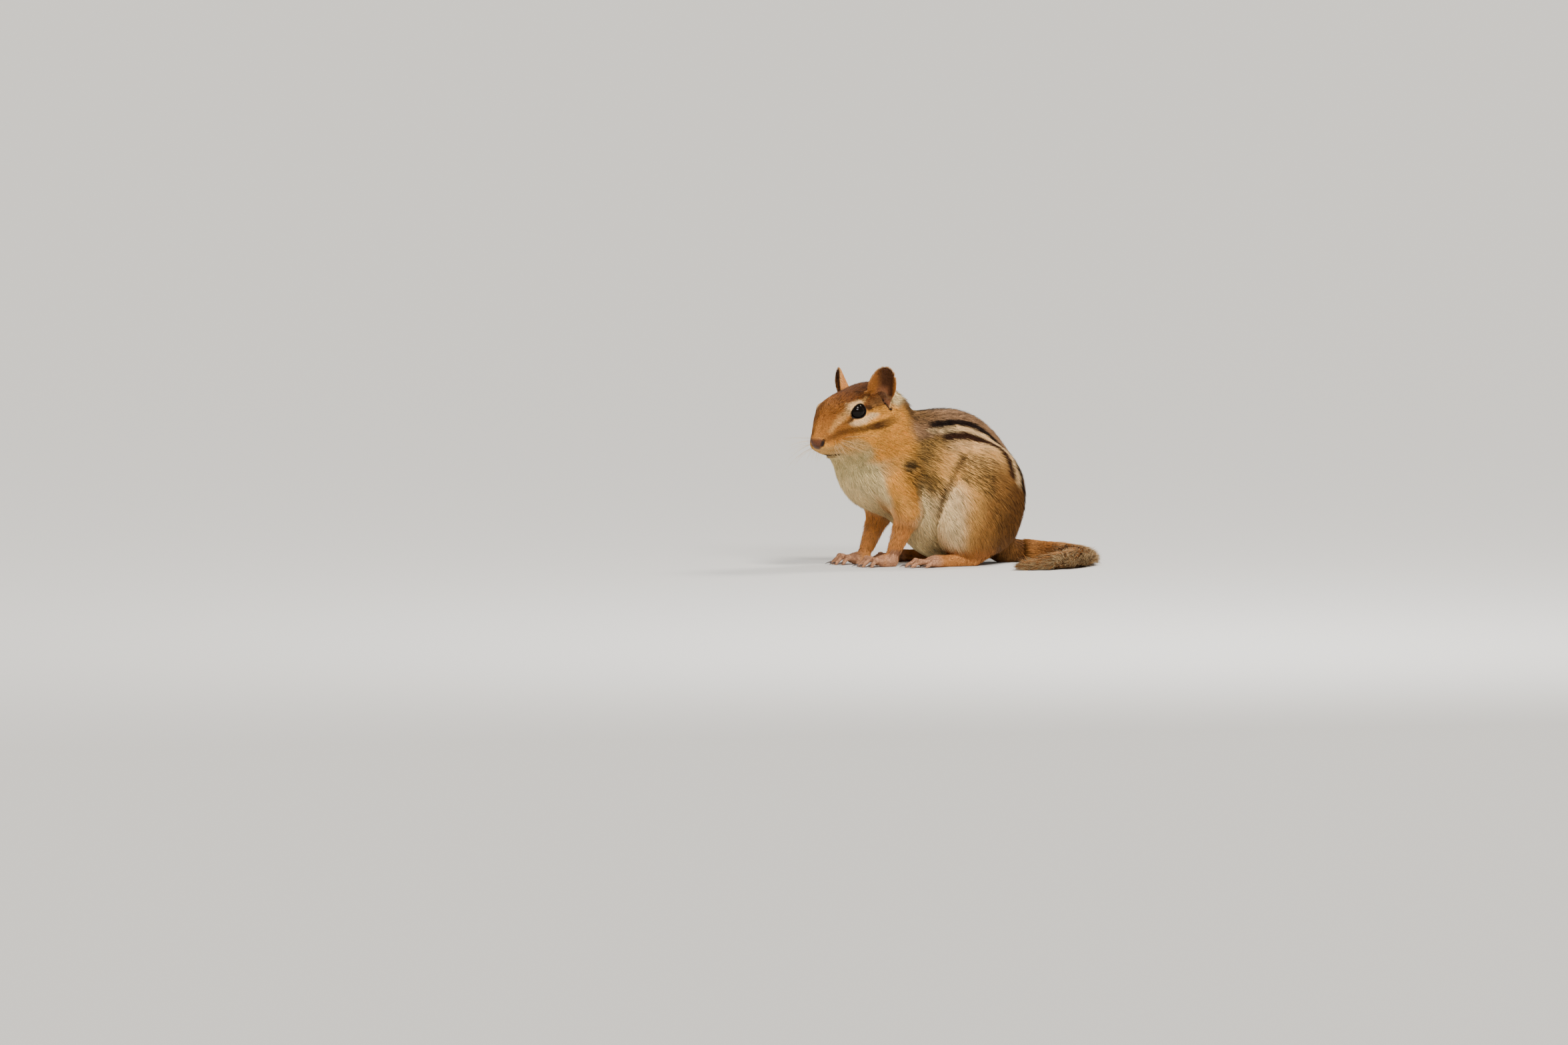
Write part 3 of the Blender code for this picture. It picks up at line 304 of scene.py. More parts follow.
def foot_points(p, side, front):
    """Points in a foot's frame, as if it were on the left."""
    return into(foot_frame(side, front), p) * (1, SIDES[side], 1)


def capsule(p, a, b, radius_a=0, radius_b=0):
    a, b = np.asarray(a, float), np.asarray(b, float)
    run = b - a
    t = np.clip((p - a) @ run / (run @ run), 0, 1)
    away = np.linalg.norm(p - a - t[..., None] * run, axis=-1)
    return away - between(radius_a, radius_b, t)


def blend(a, b, reach):
    """Smooth union of two distances."""
    h = np.clip(0.5 + 0.5 * (b - a) / reach, 0, 1)
    return b + (a - b) * h - reach * h * (1 - h)


def pitched(degrees):
    """Axes turned about X, nose up."""
    t = math.radians(degrees)
    c, s = math.cos(t), math.sin(t)
    return np.array(((1, 0, 0), (0, c, -s), (0, s, c)))


def within(field, p, low, high, margin=6):
    """A field read only near its own box. Further off, the distance to the box stands for it."""
    away = np.linalg.norm(np.maximum(np.maximum(low - p, p - high), 0), axis=-1)
    d = away + margin
    near = away < margin
    if near.any():
        d[near] = field(p[near])
    return d


def torso_field(p):
    d = None
    for (y, z), radii, pitch in (RUMP, BACK, CHEST):
        piece = ellipsoid(p, (0, y, z), radii, pitched(pitch))
        d = piece if d is None else blend(d, piece, TORSO_BLEND)
    return blend(d, capsule(p, *NECK_ENDS, *NECK_RADII), NECK_BLEND)


def hind_leg_field(p, side):
    haunch = ellipsoid(p, mirrored(HAUNCH_CENTRE, side), HAUNCH_RADII, pitched(HAUNCH_PITCH))
    shank = capsule(p, mirrored(KNEE, side), mirrored(HEEL, side), *SHANK_RADII)
    return blend(haunch, shank, SHANK_BLEND)


def foreleg_field(p, side):
    shoulder, elbow, wrist = FORELEGS[side]
    upper = capsule(p, shoulder, elbow, *UPPER_ARM_RADII)
    lower = capsule(p, elbow, wrist, *FOREARM_RADII)
    return blend(upper, lower, ELBOW_BLEND)


def eye_axes(side):
    """Rows are the eye's long way towards its front corner, its short way, and the way it looks."""
    axis = unit(on_side(EYE_AXIS, side))
    long_way = on_side(EYE_SLANT, side)
    long_way = unit(long_way - (long_way @ axis) * axis)
    return np.array((long_way, np.cross(axis, long_way), axis))


def eye_distance(q, side):
    return np.linalg.norm(q - on_side(EYE_CENTRE, side), axis=-1)


def past_opening(q, side):
    """How far a point lies outside the lids' opening, below 0 within it."""
    local = (q - on_side(EYE_CENTRE, side)) @ eye_axes(side).T
    front = local[..., 0] > 0
    reach = np.where(front, LID_REACH[0], LID_REACH[1])
    power = np.where(front, LID_POWERS[0], LID_POWERS[1])
    share = (np.abs(local[..., 0]) / reach) ** power
    half = np.where(local[..., 1] < 0, LID_REACH[2], LID_REACH[3])
    share = share + (np.abs(local[..., 1]) / half) ** LID_POWERS[2]
    return 1.3 * (share - 1), local[..., 2]


def lid_opening(q, side):
    """Above 0 in the gap between an eye's lids, down to a bed that the eye's ball hides."""
    past, along = past_opening(q, side)
    return np.minimum(np.minimum(-past, along), eye_distance(q, side) - EYE_BED)


def side_capsule(q, side, a, b, *radii):
    """A capsule of the head given for the left, on the named side."""
    return capsule(q, on_side(a, side), on_side(b, side), *radii)


def groove(q, side, a, b, depth, width):
    """How much a soft groove between two points cuts away."""
    return depth * np.exp(-((side_capsule(q, side, a, b) / width) ** 2))


def mouth_height(forward):
    """Height of the mouth's line in the head's frame, lowest at its corner."""
    t = np.clip((forward - MOUTH_REACH) / (MOUTH_END - MOUTH_REACH), 0, 1)
    return MOUTH_HEIGHT - MOUTH_SAG * (1 - t) ** 0.7


def mouth_share(q):
    """How near a point is to the mouth's line, from 0 to 1."""
    off = (q[..., 2] - mouth_height(q[..., 0])) / MOUTH_WIDTH
    return np.clip((q[..., 0] - MOUTH_REACH) / MOUTH_FADE, 0, 1) * np.exp(-(off**2))


def skull_field(q):
    d = blend(ellipsoid(q, *CRANIUM), ellipsoid(q, *FACE[:2]), FACE[2])
    for *shape, reach in (MUZZLE, JAW):
        d = blend(d, capsule(q, *shape), reach)
    for side in SIDES:
        for centre, radii, reach in (CHEEK, LIP_PAD):
            d = blend(d, ellipsoid(q, on_side(centre, side), radii), reach)
    return blend(d, ellipsoid(q, *NOSE), NOSE_BLEND)


def head_depth(q):
    """Depth of the coat on the head: deep at the nape, thin on the face, none on nose and lids."""
    cheek = smooth(-2, -10, q[..., 2]) * smooth(28, 20, q[..., 0])
    depth = np.interp(q[..., 0], HEAD_DEPTH_AT, HEAD_DEPTHS) + CHEEK_DEPTH * cheek
    for side in SIDES:
        depth = depth * smooth(*LID_DEPTH_REACH, eye_distance(q, side))
    return depth


def head_share(p):
    """1 on the head, 0 on the body, blended over the neck."""
    q = into(HEAD, p)
    return smooth(-14, 0, q[..., 0]) * smooth(-28, -15, q[..., 2])


def body_depth(p):
    """Depth of the coat on the trunk and legs, thin by the floor."""
    return between(LOW_DEPTH, BODY_DEPTH, smooth(*LOW_DEPTH_RISE, p[..., 2]))


def coat_depth(p):
    """How far the skin lies inside the solids."""
    return between(body_depth(p), head_depth(into(HEAD, p)), head_share(p))


def head_details(q):
    """What the mouth, the nostrils, the cleft under the nose and the ears' notches cut away."""
    cut = MOUTH_DEPTH * mouth_share(q) + groove(q, "left", *PHILTRUM)
    for side in SIDES:
        cut = cut + groove(q, side, *NOSTRIL) + groove(q, side, *EAR_NOTCH)
    return cut


def ear_axes(side):
    """Rows are the directions across the ear, up it, and out of its opening."""
    up = unit(on_side(EAR_TIP, side) - on_side(EAR_ROOT, side))
    opening = unit(on_side(EAR_OPENING, side))
    opening = unit(opening - (opening @ up) * up)
    return np.array((np.cross(up, opening), up, opening))


def ear_place(q, side):
    """Across, up and outward from an ear's sheet, then its height as a share, for head points."""
    root, tip = on_side(EAR_ROOT, side), on_side(EAR_TIP, side)
    height = np.linalg.norm(tip - root)
    local = (q - root) @ ear_axes(side).T
    across, up, out = local[..., 0] * SIDES[side], local[..., 1], local[..., 2]
    level = np.clip(up / height, 0, 1)
    sheet = out - between(*EAR_CUP, level) * across**2 - EAR_BEND * up**2 + EAR_SET_BACK
    middle, half = height * 0.42, height * 0.58
    flat = np.stack((across - EAR_LEAN * (up - middle), up - middle, np.zeros_like(up)), -1)
    outline = ellipsoid(flat, (0, 0, 0), (EAR_HALF_WIDTH, half, half))
    return local, sheet, outline, level, across


def ear_field(q, side):
    local, sheet, outline, level, _ = ear_place(q, side)
    thick = EAR_THICK / 2 * (1 - 0.35 * level) + EAR_ROOT_THICK * (1 - level) ** 2
    leaf = np.hypot(np.maximum(outline + thick, 0), sheet) - thick
    return blend(leaf, capsule(local, *EAR_COLLAR), EAR_COLLAR_BLEND)


def head_field(p):
    """The bare head, already inside the solids by the coat's depth."""
    q = into(HEAD, p)
    d = skull_field(q) + head_depth(q)
    for side in SIDES:
        d = blend(d, eye_distance(q, side) - LID_RADIUS, LID_BLEND)
        d = -blend(-d, -lid_opening(q, side), LID_EDGE)
    for side in SIDES:
        d = blend(d, ear_field(q, side), EAR_BLEND)
    return d + head_details(q)


def toe_field(q, joints, radii):
    """One toe with its swollen knuckle."""
    base, knuckle, tip = (np.array(j) for j in joints)
    d = blend(capsule(q, base, knuckle, *radii[:2]), capsule(q, knuckle, tip, *radii[1:]), TOE_BLEND)
    joint = np.linalg.norm(q - knuckle, axis=-1) - radii[1] - KNUCKLE
    return blend(d, joint, TOE_BLEND)


def foot_field(p, side, front):
    q = foot_points(p, side, front)
    if front:
        d = blend(ellipsoid(q, *FORE_PAD), capsule(q, *FORE_HEEL), PAD_BLEND)
        d = blend(d, capsule(q, *FORE_THUMB), TOE_BLEND)
    else:
        d = blend(capsule(q, *HIND_SOLE), ellipsoid(q, *HIND_PAD), PAD_BLEND)
    for joints in FORE_FINGERS if front else HIND_TOES:
        d = blend(d, toe_field(q, joints, FINGER_RADII if front else TOE_RADII), TOE_BLEND)
    return d + FOOT_DEPTH


def smooth_curve(values, count=400):
    """A smooth curve through evenly placed values, read at count even places."""
    t = np.linspace(0, 1, len(values))
    fine = np.linspace(0, 1, count)
    slope = np.gradient(values, t)
    i = np.clip(np.searchsorted(t, fine, side="right") - 1, 0, len(t) - 2)
    h = t[i + 1] - t[i]
    s = (fine - t[i]) / h
    return (
        (2 * s**3 - 3 * s**2 + 1) * values[i]
        + (s**3 - 2 * s**2 + s) * h * slope[i]
        + (3 * s**2 - 2 * s**3) * values[i + 1]
        + (s**3 - s**2) * h * slope[i + 1]
    )


def tail_curve(count):
    """Evenly spaced points along the tail's middle line."""
    line = np.array(TAIL_LINE)
    path = np.stack([smooth_curve(line[:, k]) for k in (0, 1)], 1)
    run = np.r_[0, np.cumsum(np.linalg.norm(np.diff(path, axis=0), axis=1))]
    at = np.linspace(0, run[-1], count)
    return np.stack([np.interp(at, run, path[:, k]) for k in (0, 1)], 1)


TAIL_POINTS = tail_curve(60)


def size_at(sizes, share):
    return np.interp(share, np.linspace(0, 1, len(sizes)), sizes)


def tail_place(p):
    """Distance from the tail's line seen from above, signed to its left, and the share along it."""
    away, share, turned = along_line(TAIL_POINTS, p[:, 0], p[:, 1])
    return turned * away, share


def tail_field(p):
    """The tail's flattened core."""
    signed, share = tail_place(p)
    w, h = size_at(TAIL_CORE_WIDTHS, share), size_at(TAIL_CORE_HEIGHTS, share)
    rise = p[:, 2] - h
    near = np.hypot(signed / w, rise / h)
    return near * (near - 1) / np.maximum(np.hypot(signed / w**2, rise / h**2), 1e-9)


FOOT_REACH = np.array((34, 34, 8))
HEAD_SPAN = (np.array((-24, -66, 30)), np.array((32, -4, 86)))
TAIL_SPAN_BOX = (np.array((-8, 24, -1)), np.array((58, 60, 12)))


def skin_field(p):
    """The whole skin: trunk, head, legs, feet, ears and the tail's core, clear of the floor."""
    depth = body_depth(p)
    d = blend(torso_field(p) + coat_depth(p), within(head_field, p, *HEAD_SPAN), HEAD_BLEND)
    behind_fold = smooth(*HAUNCH_BLEND_RISE, p[..., 1] + 0.35 * (p[..., 2] - 36))
    for side in SIDES:
        d = blend(d, hind_leg_field(p, side) + depth, between(*HAUNCH_BLENDS, behind_fold))
        d = blend(d, foreleg_field(p, side) + depth, ARM_BLEND)
    for side, front in FEET:
        origin = foot_frame(side, front)[0]
        span = origin - FOOT_REACH, origin + FOOT_REACH
        d = blend(d, within(lambda at: foot_field(at, side, front), p, *span), FOOT_JOIN)
    d = blend(d, within(tail_field, p, *TAIL_SPAN_BOX), TAIL_JOIN)
    return np.maximum(d, FLOOR_CLEARANCE - p[..., 2])


def sample(field, low, high, cell):
    """The field on a grid. Blocks far from its surface hold the value at their middle."""
    block = 8
    counts = [int(math.ceil((h - l) / cell / block)) * block for l, h in zip(low, high)]
    axes = [l + cell * np.arange(n) for l, n in zip(low, counts)]
    middle = (block - 1) / 2 * cell
    centres = np.stack(np.meshgrid(*[a[::block] + middle for a in axes], indexing="ij"), -1)
    rough = field(centres.reshape(-1, 3)).reshape(centres.shape[:3])
    values = rough.repeat(block, 0).repeat(block, 1).repeat(block, 2)
    reach = middle * math.sqrt(3) * 1.6 + cell
    near = np.argwhere(np.abs(rough) < reach)
    step = np.stack(np.meshgrid(*[cell * np.arange(block)] * 3, indexing="ij"), -1)
    for start in range(0, len(near), 256):
        some = near[start : start + 256]
        corner = np.array(low) + some * block * cell
        points = corner[:, None, None, None, :] + step[None]
        found = field(points.reshape(-1, 3)).reshape(points.shape[:4])
        for (i, j, k), cube in zip(some * block, found):
            values[i : i + block, j : j + block, k : k + block] = cube
    return values


def net_points(values, inside):
    """One point in each grid cell that the surface crosses, and each cell's point number."""
    n = np.array(values.shape) - 1

    def at(grid, c):
        return grid[c[0] : c[0] + n[0], c[1] : c[1] + n[1], c[2] : c[2] + n[2]]

    some = np.zeros(n, bool)
    every = np.ones(n, bool)
    for c in np.ndindex(2, 2, 2):
        some |= at(inside, c)
        every &= at(inside, c)
    used = some & ~every
    cells = np.argwhere(used)
    number = np.full(tuple(n), -1)
    number[used] = np.arange(len(cells))
    corner = {c: values[tuple((cells + c).T)] for c in np.ndindex(2, 2, 2)}
    total = np.zeros((len(cells), 3))
    count = np.zeros(len(cells))
    for a in corner:
        for axis in range(3):
            if a[axis]:
                continue
            b = tuple(1 if k == axis else a[k] for k in range(3))
            crossed = (corner[a] < 0) != (corner[b] < 0)
            t = corner[a] / np.where(crossed, corner[a] - corner[b], 1)
            for k in range(3):
                total[:, k] += np.where(crossed, a[k] + (t if k == axis else 0), 0)
            count += crossed
    return cells + total / count[:, None], number


def surface_nets(values, low, cell):
    """Points and quads of the zero surface of a sampled field."""
    inside = values < 0
    places, number = net_points(values, inside)
    quads = []
    for axis in range(3):
        others = [k for k in range(3) if k != axis]
        start = [slice(1, -1)] * 3
        start[axis] = slice(0, -1)
        end = [slice(1, -1)] * 3
        end[axis] = slice(1, None)
        first = inside[tuple(start)]
        found = np.argwhere(first != inside[tuple(end)])
        outward = first[tuple(found.T)] == (axis != 1)
        found[:, others] += 1
        ring = []
        for back in ((1, 1), (0, 1), (0, 0), (1, 0)):
            cell_at = found.copy()
            cell_at[:, others] -= back
            ring.append(number[tuple(cell_at.T)])
        ring = np.stack(ring, 1)
        ring[~outward] = ring[~outward][:, ::-1]
        quads.append(ring)
    return np.asarray(low) + places * cell, np.concatenate(quads)


def slope_of(field, points, step=0.05):
    """The field's gradient at points."""
    g = np.empty_like(points)
    for k in range(3):
        h = np.zeros(3)
        h[k] = step
        g[:, k] = (field(points + h) - field(points - h)) / (2 * step)
    return g


def settled(field, points):
    """Points moved onto the field's surface."""
    g = slope_of(field, points)
    move = field(points) / np.maximum((g * g).sum(1), 0.3)
    return points - g * np.clip(move, -0.5, 0.5)[:, None]


def noise(p, size, seed):
    """Smooth noise from -1 to 1, with features of about the given size."""
    q = p / size
    cell = np.floor(q).astype(np.int64)
    t = q - cell
    t = t * t * (3 - 2 * t)
    total = np.zeros(len(p))
    for c in np.ndindex(2, 2, 2):
        at = cell + c
        mixed = at[:, 0] * 73856093 ^ at[:, 1] * 19349663 ^ at[:, 2] * 83492791 ^ seed * 2654435
        mixed = ((mixed ^ (mixed >> 13)) * 1274126177) & 0x7FFFFFFF
        value = ((mixed >> 7) & 0xFFFF) / 32767.5 - 1
        total += value * np.prod(np.where(c, t, 1 - t), axis=1)
    return total


# Colours, as they look on a screen from 0 to 255.
PALETTE = {
    "cream": (255, 216, 158),
    "white": (246, 220, 164),
    "throat": (226, 204, 146),
    "dark": (36, 20, 12),
    "outer_stripe": (66, 38, 22),
    "back": (172, 132, 96),
    "nape": (142, 104, 62),
    "grizzle": (160, 122, 66),
    "patch": (92, 68, 40),
    "tan": (250, 194, 112),
    "peach": (246, 204, 148),
    "ochre": (238, 170, 76),
    "buff": (250, 220, 170),
    "rust": (158, 106, 52),
    "rump": (102, 60, 26),
    "crown": (134, 78, 32),
    "crown_side": (100, 58, 24),
    "bridge": (182, 116, 54),
    "brow": (234, 178, 104),
    "cheek_line": (78, 40, 16),
    "muzzle": (222, 182, 120),
    "rear_line": (70, 40, 20),
    "lid": (20, 14, 11),
    "nose": (92, 54, 33),
    # Near black: painted shade for the nose pad's lower part, the nostrils, the cleft and the mouth's line.
    "nostril": (30, 15, 10),
    "forearm": (232, 160, 88),
    "hindfoot": (188, 124, 64),
    "finger": (188, 138, 104),
    # ear_inner: dark brown inside the ear, partly its own colour and partly painted shade.
    "ear_inner": (72, 40, 18),
    "ear_edge": (150, 92, 38),
    "ear_back": (214, 146, 80),
    "ear_rim": (214, 170, 116),
    "ear_low": (140, 88, 56),
    # Near black: painted shade in the ear's canal and the slit at its foot.
    "ear_deep": (26, 13, 7),
    # fold: dark hair with painted shade, along the crease in front of the haunch.
    "fold": (90, 58, 28),
    "tail_under": (206, 126, 60),
    "tail_mid": (160, 106, 52),
    "tail_black": (26, 18, 13),
    "tail_tip": (226, 194, 142),
    "claw": (62, 46, 38),
}


def tint(name):
    """A colour of the palette in linear light."""
    c = np.array(PALETTE[name]) / 255
    return np.where(c <= 0.04045, c / 12.92, ((c + 0.055) / 1.055) ** 2.4)


def mix(colour, name, share):
    """A colour moved towards one of the palette's."""
    share = np.clip(share, 0, 1)[:, None]
    return colour * (1 - share) + tint(name) * share


class Paint:
    """Colours of points, with one marking laid over another."""

    def __init__(self, name, count):
        self.colour = np.tile(tint(name), (count, 1))

    def lay(self, name, share):
        self.colour = mix(self.colour, name, share)


def band(x, centre, half, soft):
    """1 within half a width of the centre, falling to 0 over the soft edge."""
    return smooth(half + soft, half - soft * 0.3, np.abs(x - centre))


def along_line(points, x, y):
    """Distance in one plane from a line of points, the share along it, and 1 on its left or -1."""
    points = np.asarray(points, float)
    p = np.stack((x, y), 1)
    best = np.full(len(p), np.inf)
    share, turned = np.zeros((2, len(p)))
    for i in range(len(points) - 1):
        run, off = points[i + 1] - points[i], p - points[i]
        t = np.clip(off @ run / (run @ run), 0, 1)
        away = np.linalg.norm(off - t[:, None] * run, axis=1)
        nearer = away < best
        best[nearer] = away[nearer]
        share[nearer] = ((i + t) / (len(points) - 1))[nearer]
        turned[nearer] = np.sign(run[0] * off[:, 1] - run[1] * off[:, 0])[nearer]
    return best, share, turned


# Back: the stripes run round this centre (y, z), and spread to the side by these degrees on the way.
BACK_CENTRE = (4, 30)
STRIPE_SPREAD_AT = (-40, 0, 30, 42, 58, 70, 85, 100, 120)
STRIPE_SPREAD = (2, 0, -1, 0, 6, 12, 14, 8, -4)

# Stripes: colour, middle and half width in degrees off the midline, and ends in degrees round the back.
STRIPES = (
    ("cream", 25.9, 2.4, -30, 88),
    ("outer_stripe", 31.7, 2.8, -23, 80),
    ("dark", 20.4, 2.4, -28, 112),
    ("dark", 0, 2.4, -36, 112),
)
STRIPE_SOFT = 1
STRIPE_FADE = 10

# Head: lines in its side plane as (forward, up), with half widths from their first to last point.
BROW_LINE = (
    (29, -0.6),
    (26.5, 1.5),
    (23.5, 3.7),
    (21, 5.6),
    (18.8, 7.2),
    (16.4, 7.9),
    (13.4, 7.7),
    (11.2, 7.5),
    (9, 8.4),
)
BROW_HALF = (0.3, 0.7, 0.9, 0.8, 0.6, 0.5, 0.4, 0.2, 0.1)
UNDER_EYE_LINE = (
    (21.4, 0.7),
    (20.2, 0.4),
    (18.2, 0.2),
    (15.6, 0.5),
    (13.4, 1.1),
    (11.2, 1.3),
    (9, 1.4),
)
UNDER_EYE_HALF = (0.3, 0.8, 1, 1.05, 1.1, 1, 0.4)
CHEEK_LINE = (
    (31, -3.5),
    (26, -2),
    (21.5, -2),
    (16.5, -2.5),
    (11.2, -2.8),
    (6, -3),
    (-1, -2.4),
)
CHEEK_HALF = (0.6, 0.8, 0.9, 0.9, 1.4, 1.5, 1)
CHEEK_SHARE = (0.35, 0.5, 0.6, 0.75, 0.95, 0.7, 0.25)
EAR_REAR_LINE = ((-1.8, 6.8), (-1.1, 3.8), (0.3, 1.2))
EAR_REAR_HALF = (0.6, 0.6, 0.4)
REAR_LINE = ((12.8, 5.2), (11.6, 4.6), (9.8, 4.5))
REAR_HALF = (0.5, 0.7, 0.6)
FRONT_LINE = ((20.2, 2.4), (21.9, 1.6), (24.4, 0.9))
FRONT_SHARE = (0.95, 0.7, 0.2)
FRONT_HALF = (0.5, 0.45, 0.2)
MUZZLE_EDGE_AT = (12, 14, 16, 20, 25, 31)
MUZZLE_EDGE = (-17, -13.5, -8.6, -5.4, -5.4, -6.4)

# Body: lines in its side plane as (y, z), and the edges of the white below.
SHOULDER_LINE = ((-4, 56), (-11, 48), (-16, 40), (-9, 33))
FOLD_LINE = (
    (12.5, 45.9),
    (8.5, 45.6),
    (5.2, 44.2),
    (3.3, 41.4),
    (0.8, 36.6),
    (-1.4, 32.6),
    (-3.6, 27.8),
    (-4.9, 21),
)
ARM_LINE = ((-21, 33), (-17.5, 24))
BELLY_EDGE_AT = (-30, -22, -14, -5, 4)
BELLY_EDGE = (33, 29, 28.5, 30.5, 24)
CHEST_EDGE_AT = (24, 30, 33, 37, 41, 43, 46, 50)
CHEST_EDGE = (-24, -25, -26, -28.2, -31.9, -36, -42, -60)


def line_share(points, halves, soft, x, y, shares=(1, 1)):
    """How much of a marking along a line a point has, soft at its edges."""
    away, share, _ = along_line(points, x, y)
    half = size_at(halves, share)
    return smooth(soft, -soft * 0.5, away - half) * size_at(shares, share)


def stripe_angles(p):
    """Where a point lies round the back, from the top to the rump, and to its side, in degrees."""
    y, z = p[:, 1] - BACK_CENTRE[0], p[:, 2] - BACK_CENTRE[1]
    round_back = np.degrees(np.arctan2(y, z))
    to_side = np.degrees(np.arctan2(np.abs(p[:, 0]), np.hypot(y, z)))
    return round_back, to_side


def body_colour(p, normal):
    """Colours of the trunk, legs and feet."""
    x, y, z = np.abs(p[:, 0]), p[:, 1], p[:, 2]
    rough, fine = noise(p, 5, 1), noise(p, 1.8, 2)
    around, side = stripe_angles(p)
    side = side + 0.7 * fine
    paint = Paint("tan", len(p))
    lay = paint.lay
    lay("peach", 0.8 * smooth(36, 43, z + rough) * smooth(-5, 3, y))
    lay("grizzle", 0.8 * smooth(7.5, 2.5, along_line(SHOULDER_LINE, y, z)[0] + 1.5 * rough))
    patch = np.hypot((y + 16.8) / 1.3, z - 41.3)
    lay("patch", 0.8 * smooth(3.2, 0.6, patch + 0.8 * fine) * (x > 9))
    ochre = smooth(-12, -16.5, y + 1.5 * rough + 0.12 * (z - 50)) * smooth(33, 42, z)
    lay("ochre", ochre * (1 - smooth(4.2, 1.5, patch)))
    lay("back", smooth(32.5, 29.5, side) * smooth(38, 50, z + 0.4 * y))
    lay("nape", smooth(18, 12.5, x + rough) * smooth(55, 61, z + fine) * smooth(2, -8, y))
    rump_colour(lay, x, y, z, rough)
    belly_colour(lay, x, y, z, normal, 0.9 * rough + 0.7 * fine)
    arm_colour(lay, p, normal, rough)
    # Dark hair with painted shade along the crease in front of the haunch.
    fold, share, _ = along_line(FOLD_LINE, y, z)
    lay("fold", 0.9 * (smooth(1.2, 0.1, fold + 0.3 * fine) * smooth(0, 0.3, share) * (x > 12)))
    spread = np.interp(around, STRIPE_SPREAD_AT, STRIPE_SPREAD)
    ragged = 5 * noise(p, 2.2, 3)
    for name, centre, half, start, end in STRIPES:
        ends = smooth(start, start + STRIPE_FADE, around + ragged)
        ends = ends * smooth(end, end - STRIPE_FADE, around + ragged)
        lay(name, band(side, centre + spread * (centre > 5), half, STRIPE_SOFT) * ends)
    heel = smooth(9, 5, z) * smooth(13, 15, x) * smooth(-8, -3, y) * smooth(24, 16, y)
    lay("hindfoot", heel)
    feet_colour(lay, p)
    return paint


def rump_colour(lay, x, y, z, rough):
    """The haunch: pale in front, tan above, rusty behind, and the rusty rump between them."""
    on_haunch = smooth(-5, 0, y) * smooth(49, 44, z) * smooth(12, 16, x)
    lay("tan", 0.7 * on_haunch)
    pale = smooth(9, 1.5, y + 1.2 * rough - 0.05 * (z - 20)) * smooth(38, 28, z)
    lay("buff", 0.9 * pale * on_haunch)
    rusty = smooth(8, 20, y + 2.2 * rough + 0.32 * (34 - z)) * smooth(42, 28, z - 0.3 * x)
    lay("rust", 0.85 * rusty)
    deep = smooth(18, 28, y + 2 * rough + 0.3 * (26 - z))
    lay("rump", 0.6 * deep * smooth(42, 36, z))


def belly_colour(lay, x, y, z, normal, ragged):
    """White below: throat, chest and belly, with a ragged edge to the flank."""
    edge = np.interp(y, BELLY_EDGE_AT, BELLY_EDGE)
    below = smooth(edge + 2.5, edge - 4, z + ragged) * smooth(7, -3, y)
    edge = np.interp(z, CHEST_EDGE_AT, CHEST_EDGE)
    front = smooth(edge + 2.6, edge - 3.2, y + ragged)
    under = smooth(0.15, -0.5, normal[:, 2]) * smooth(17.5, 14.5, x) * smooth(20, 6, y)
    lay("buff", 0.75 * below)
    lay("white", np.clip(0.3 * below + front + under, 0, 1))
    throat = smooth(-22, -30, y) * smooth(30, 40, z) * smooth(50, 44, z)
    lay("throat", 0.8 * throat * front)


def arm_colour(lay, p, normal, rough):
    """Tan over the outside of each upper arm, turning orange down the forearm."""
    x, y, z = np.abs(p[:, 0]), p[:, 1], p[:, 2]
    away = along_line(ARM_LINE, y, z)[0]
    outside = smooth(6.8, 4.2, away + 0.8 * rough) * smooth(0, 0.5, np.sign(p[:, 0]) * normal[:, 0])
    lay("ochre", 0.9 * outside * smooth(11, 13.5, x))
    forearm = smooth(27, 18, z + 0.6 * (y + 22)) * smooth(-8, -11, y)
    on_arm = np.minimum(*[foreleg_field(p, side) for side in SIDES])
    lay("forearm", forearm * smooth(1.6, 0.2, np.minimum(on_arm, 9) - 0.8))


def feet_colour(lay, p):
    """Hind feet are orange-brown, and toes and forefeet bare pinkish brown."""
    for side, front in FEET:
        q = foot_points(p, side, front)
        low = smooth(7.5, 6, q[:, 2]) * smooth(9.5, 8.5, np.abs(q[:, 1]))
        start = 1 if front else 13
        end = smooth(-4, 0, q[:, 0]) * smooth(36, 34, q[:, 0])
        lay("forearm" if front else "hindfoot", low * end)
        lay("finger", low * smooth(start, start + 5, q[:, 0]) * end)


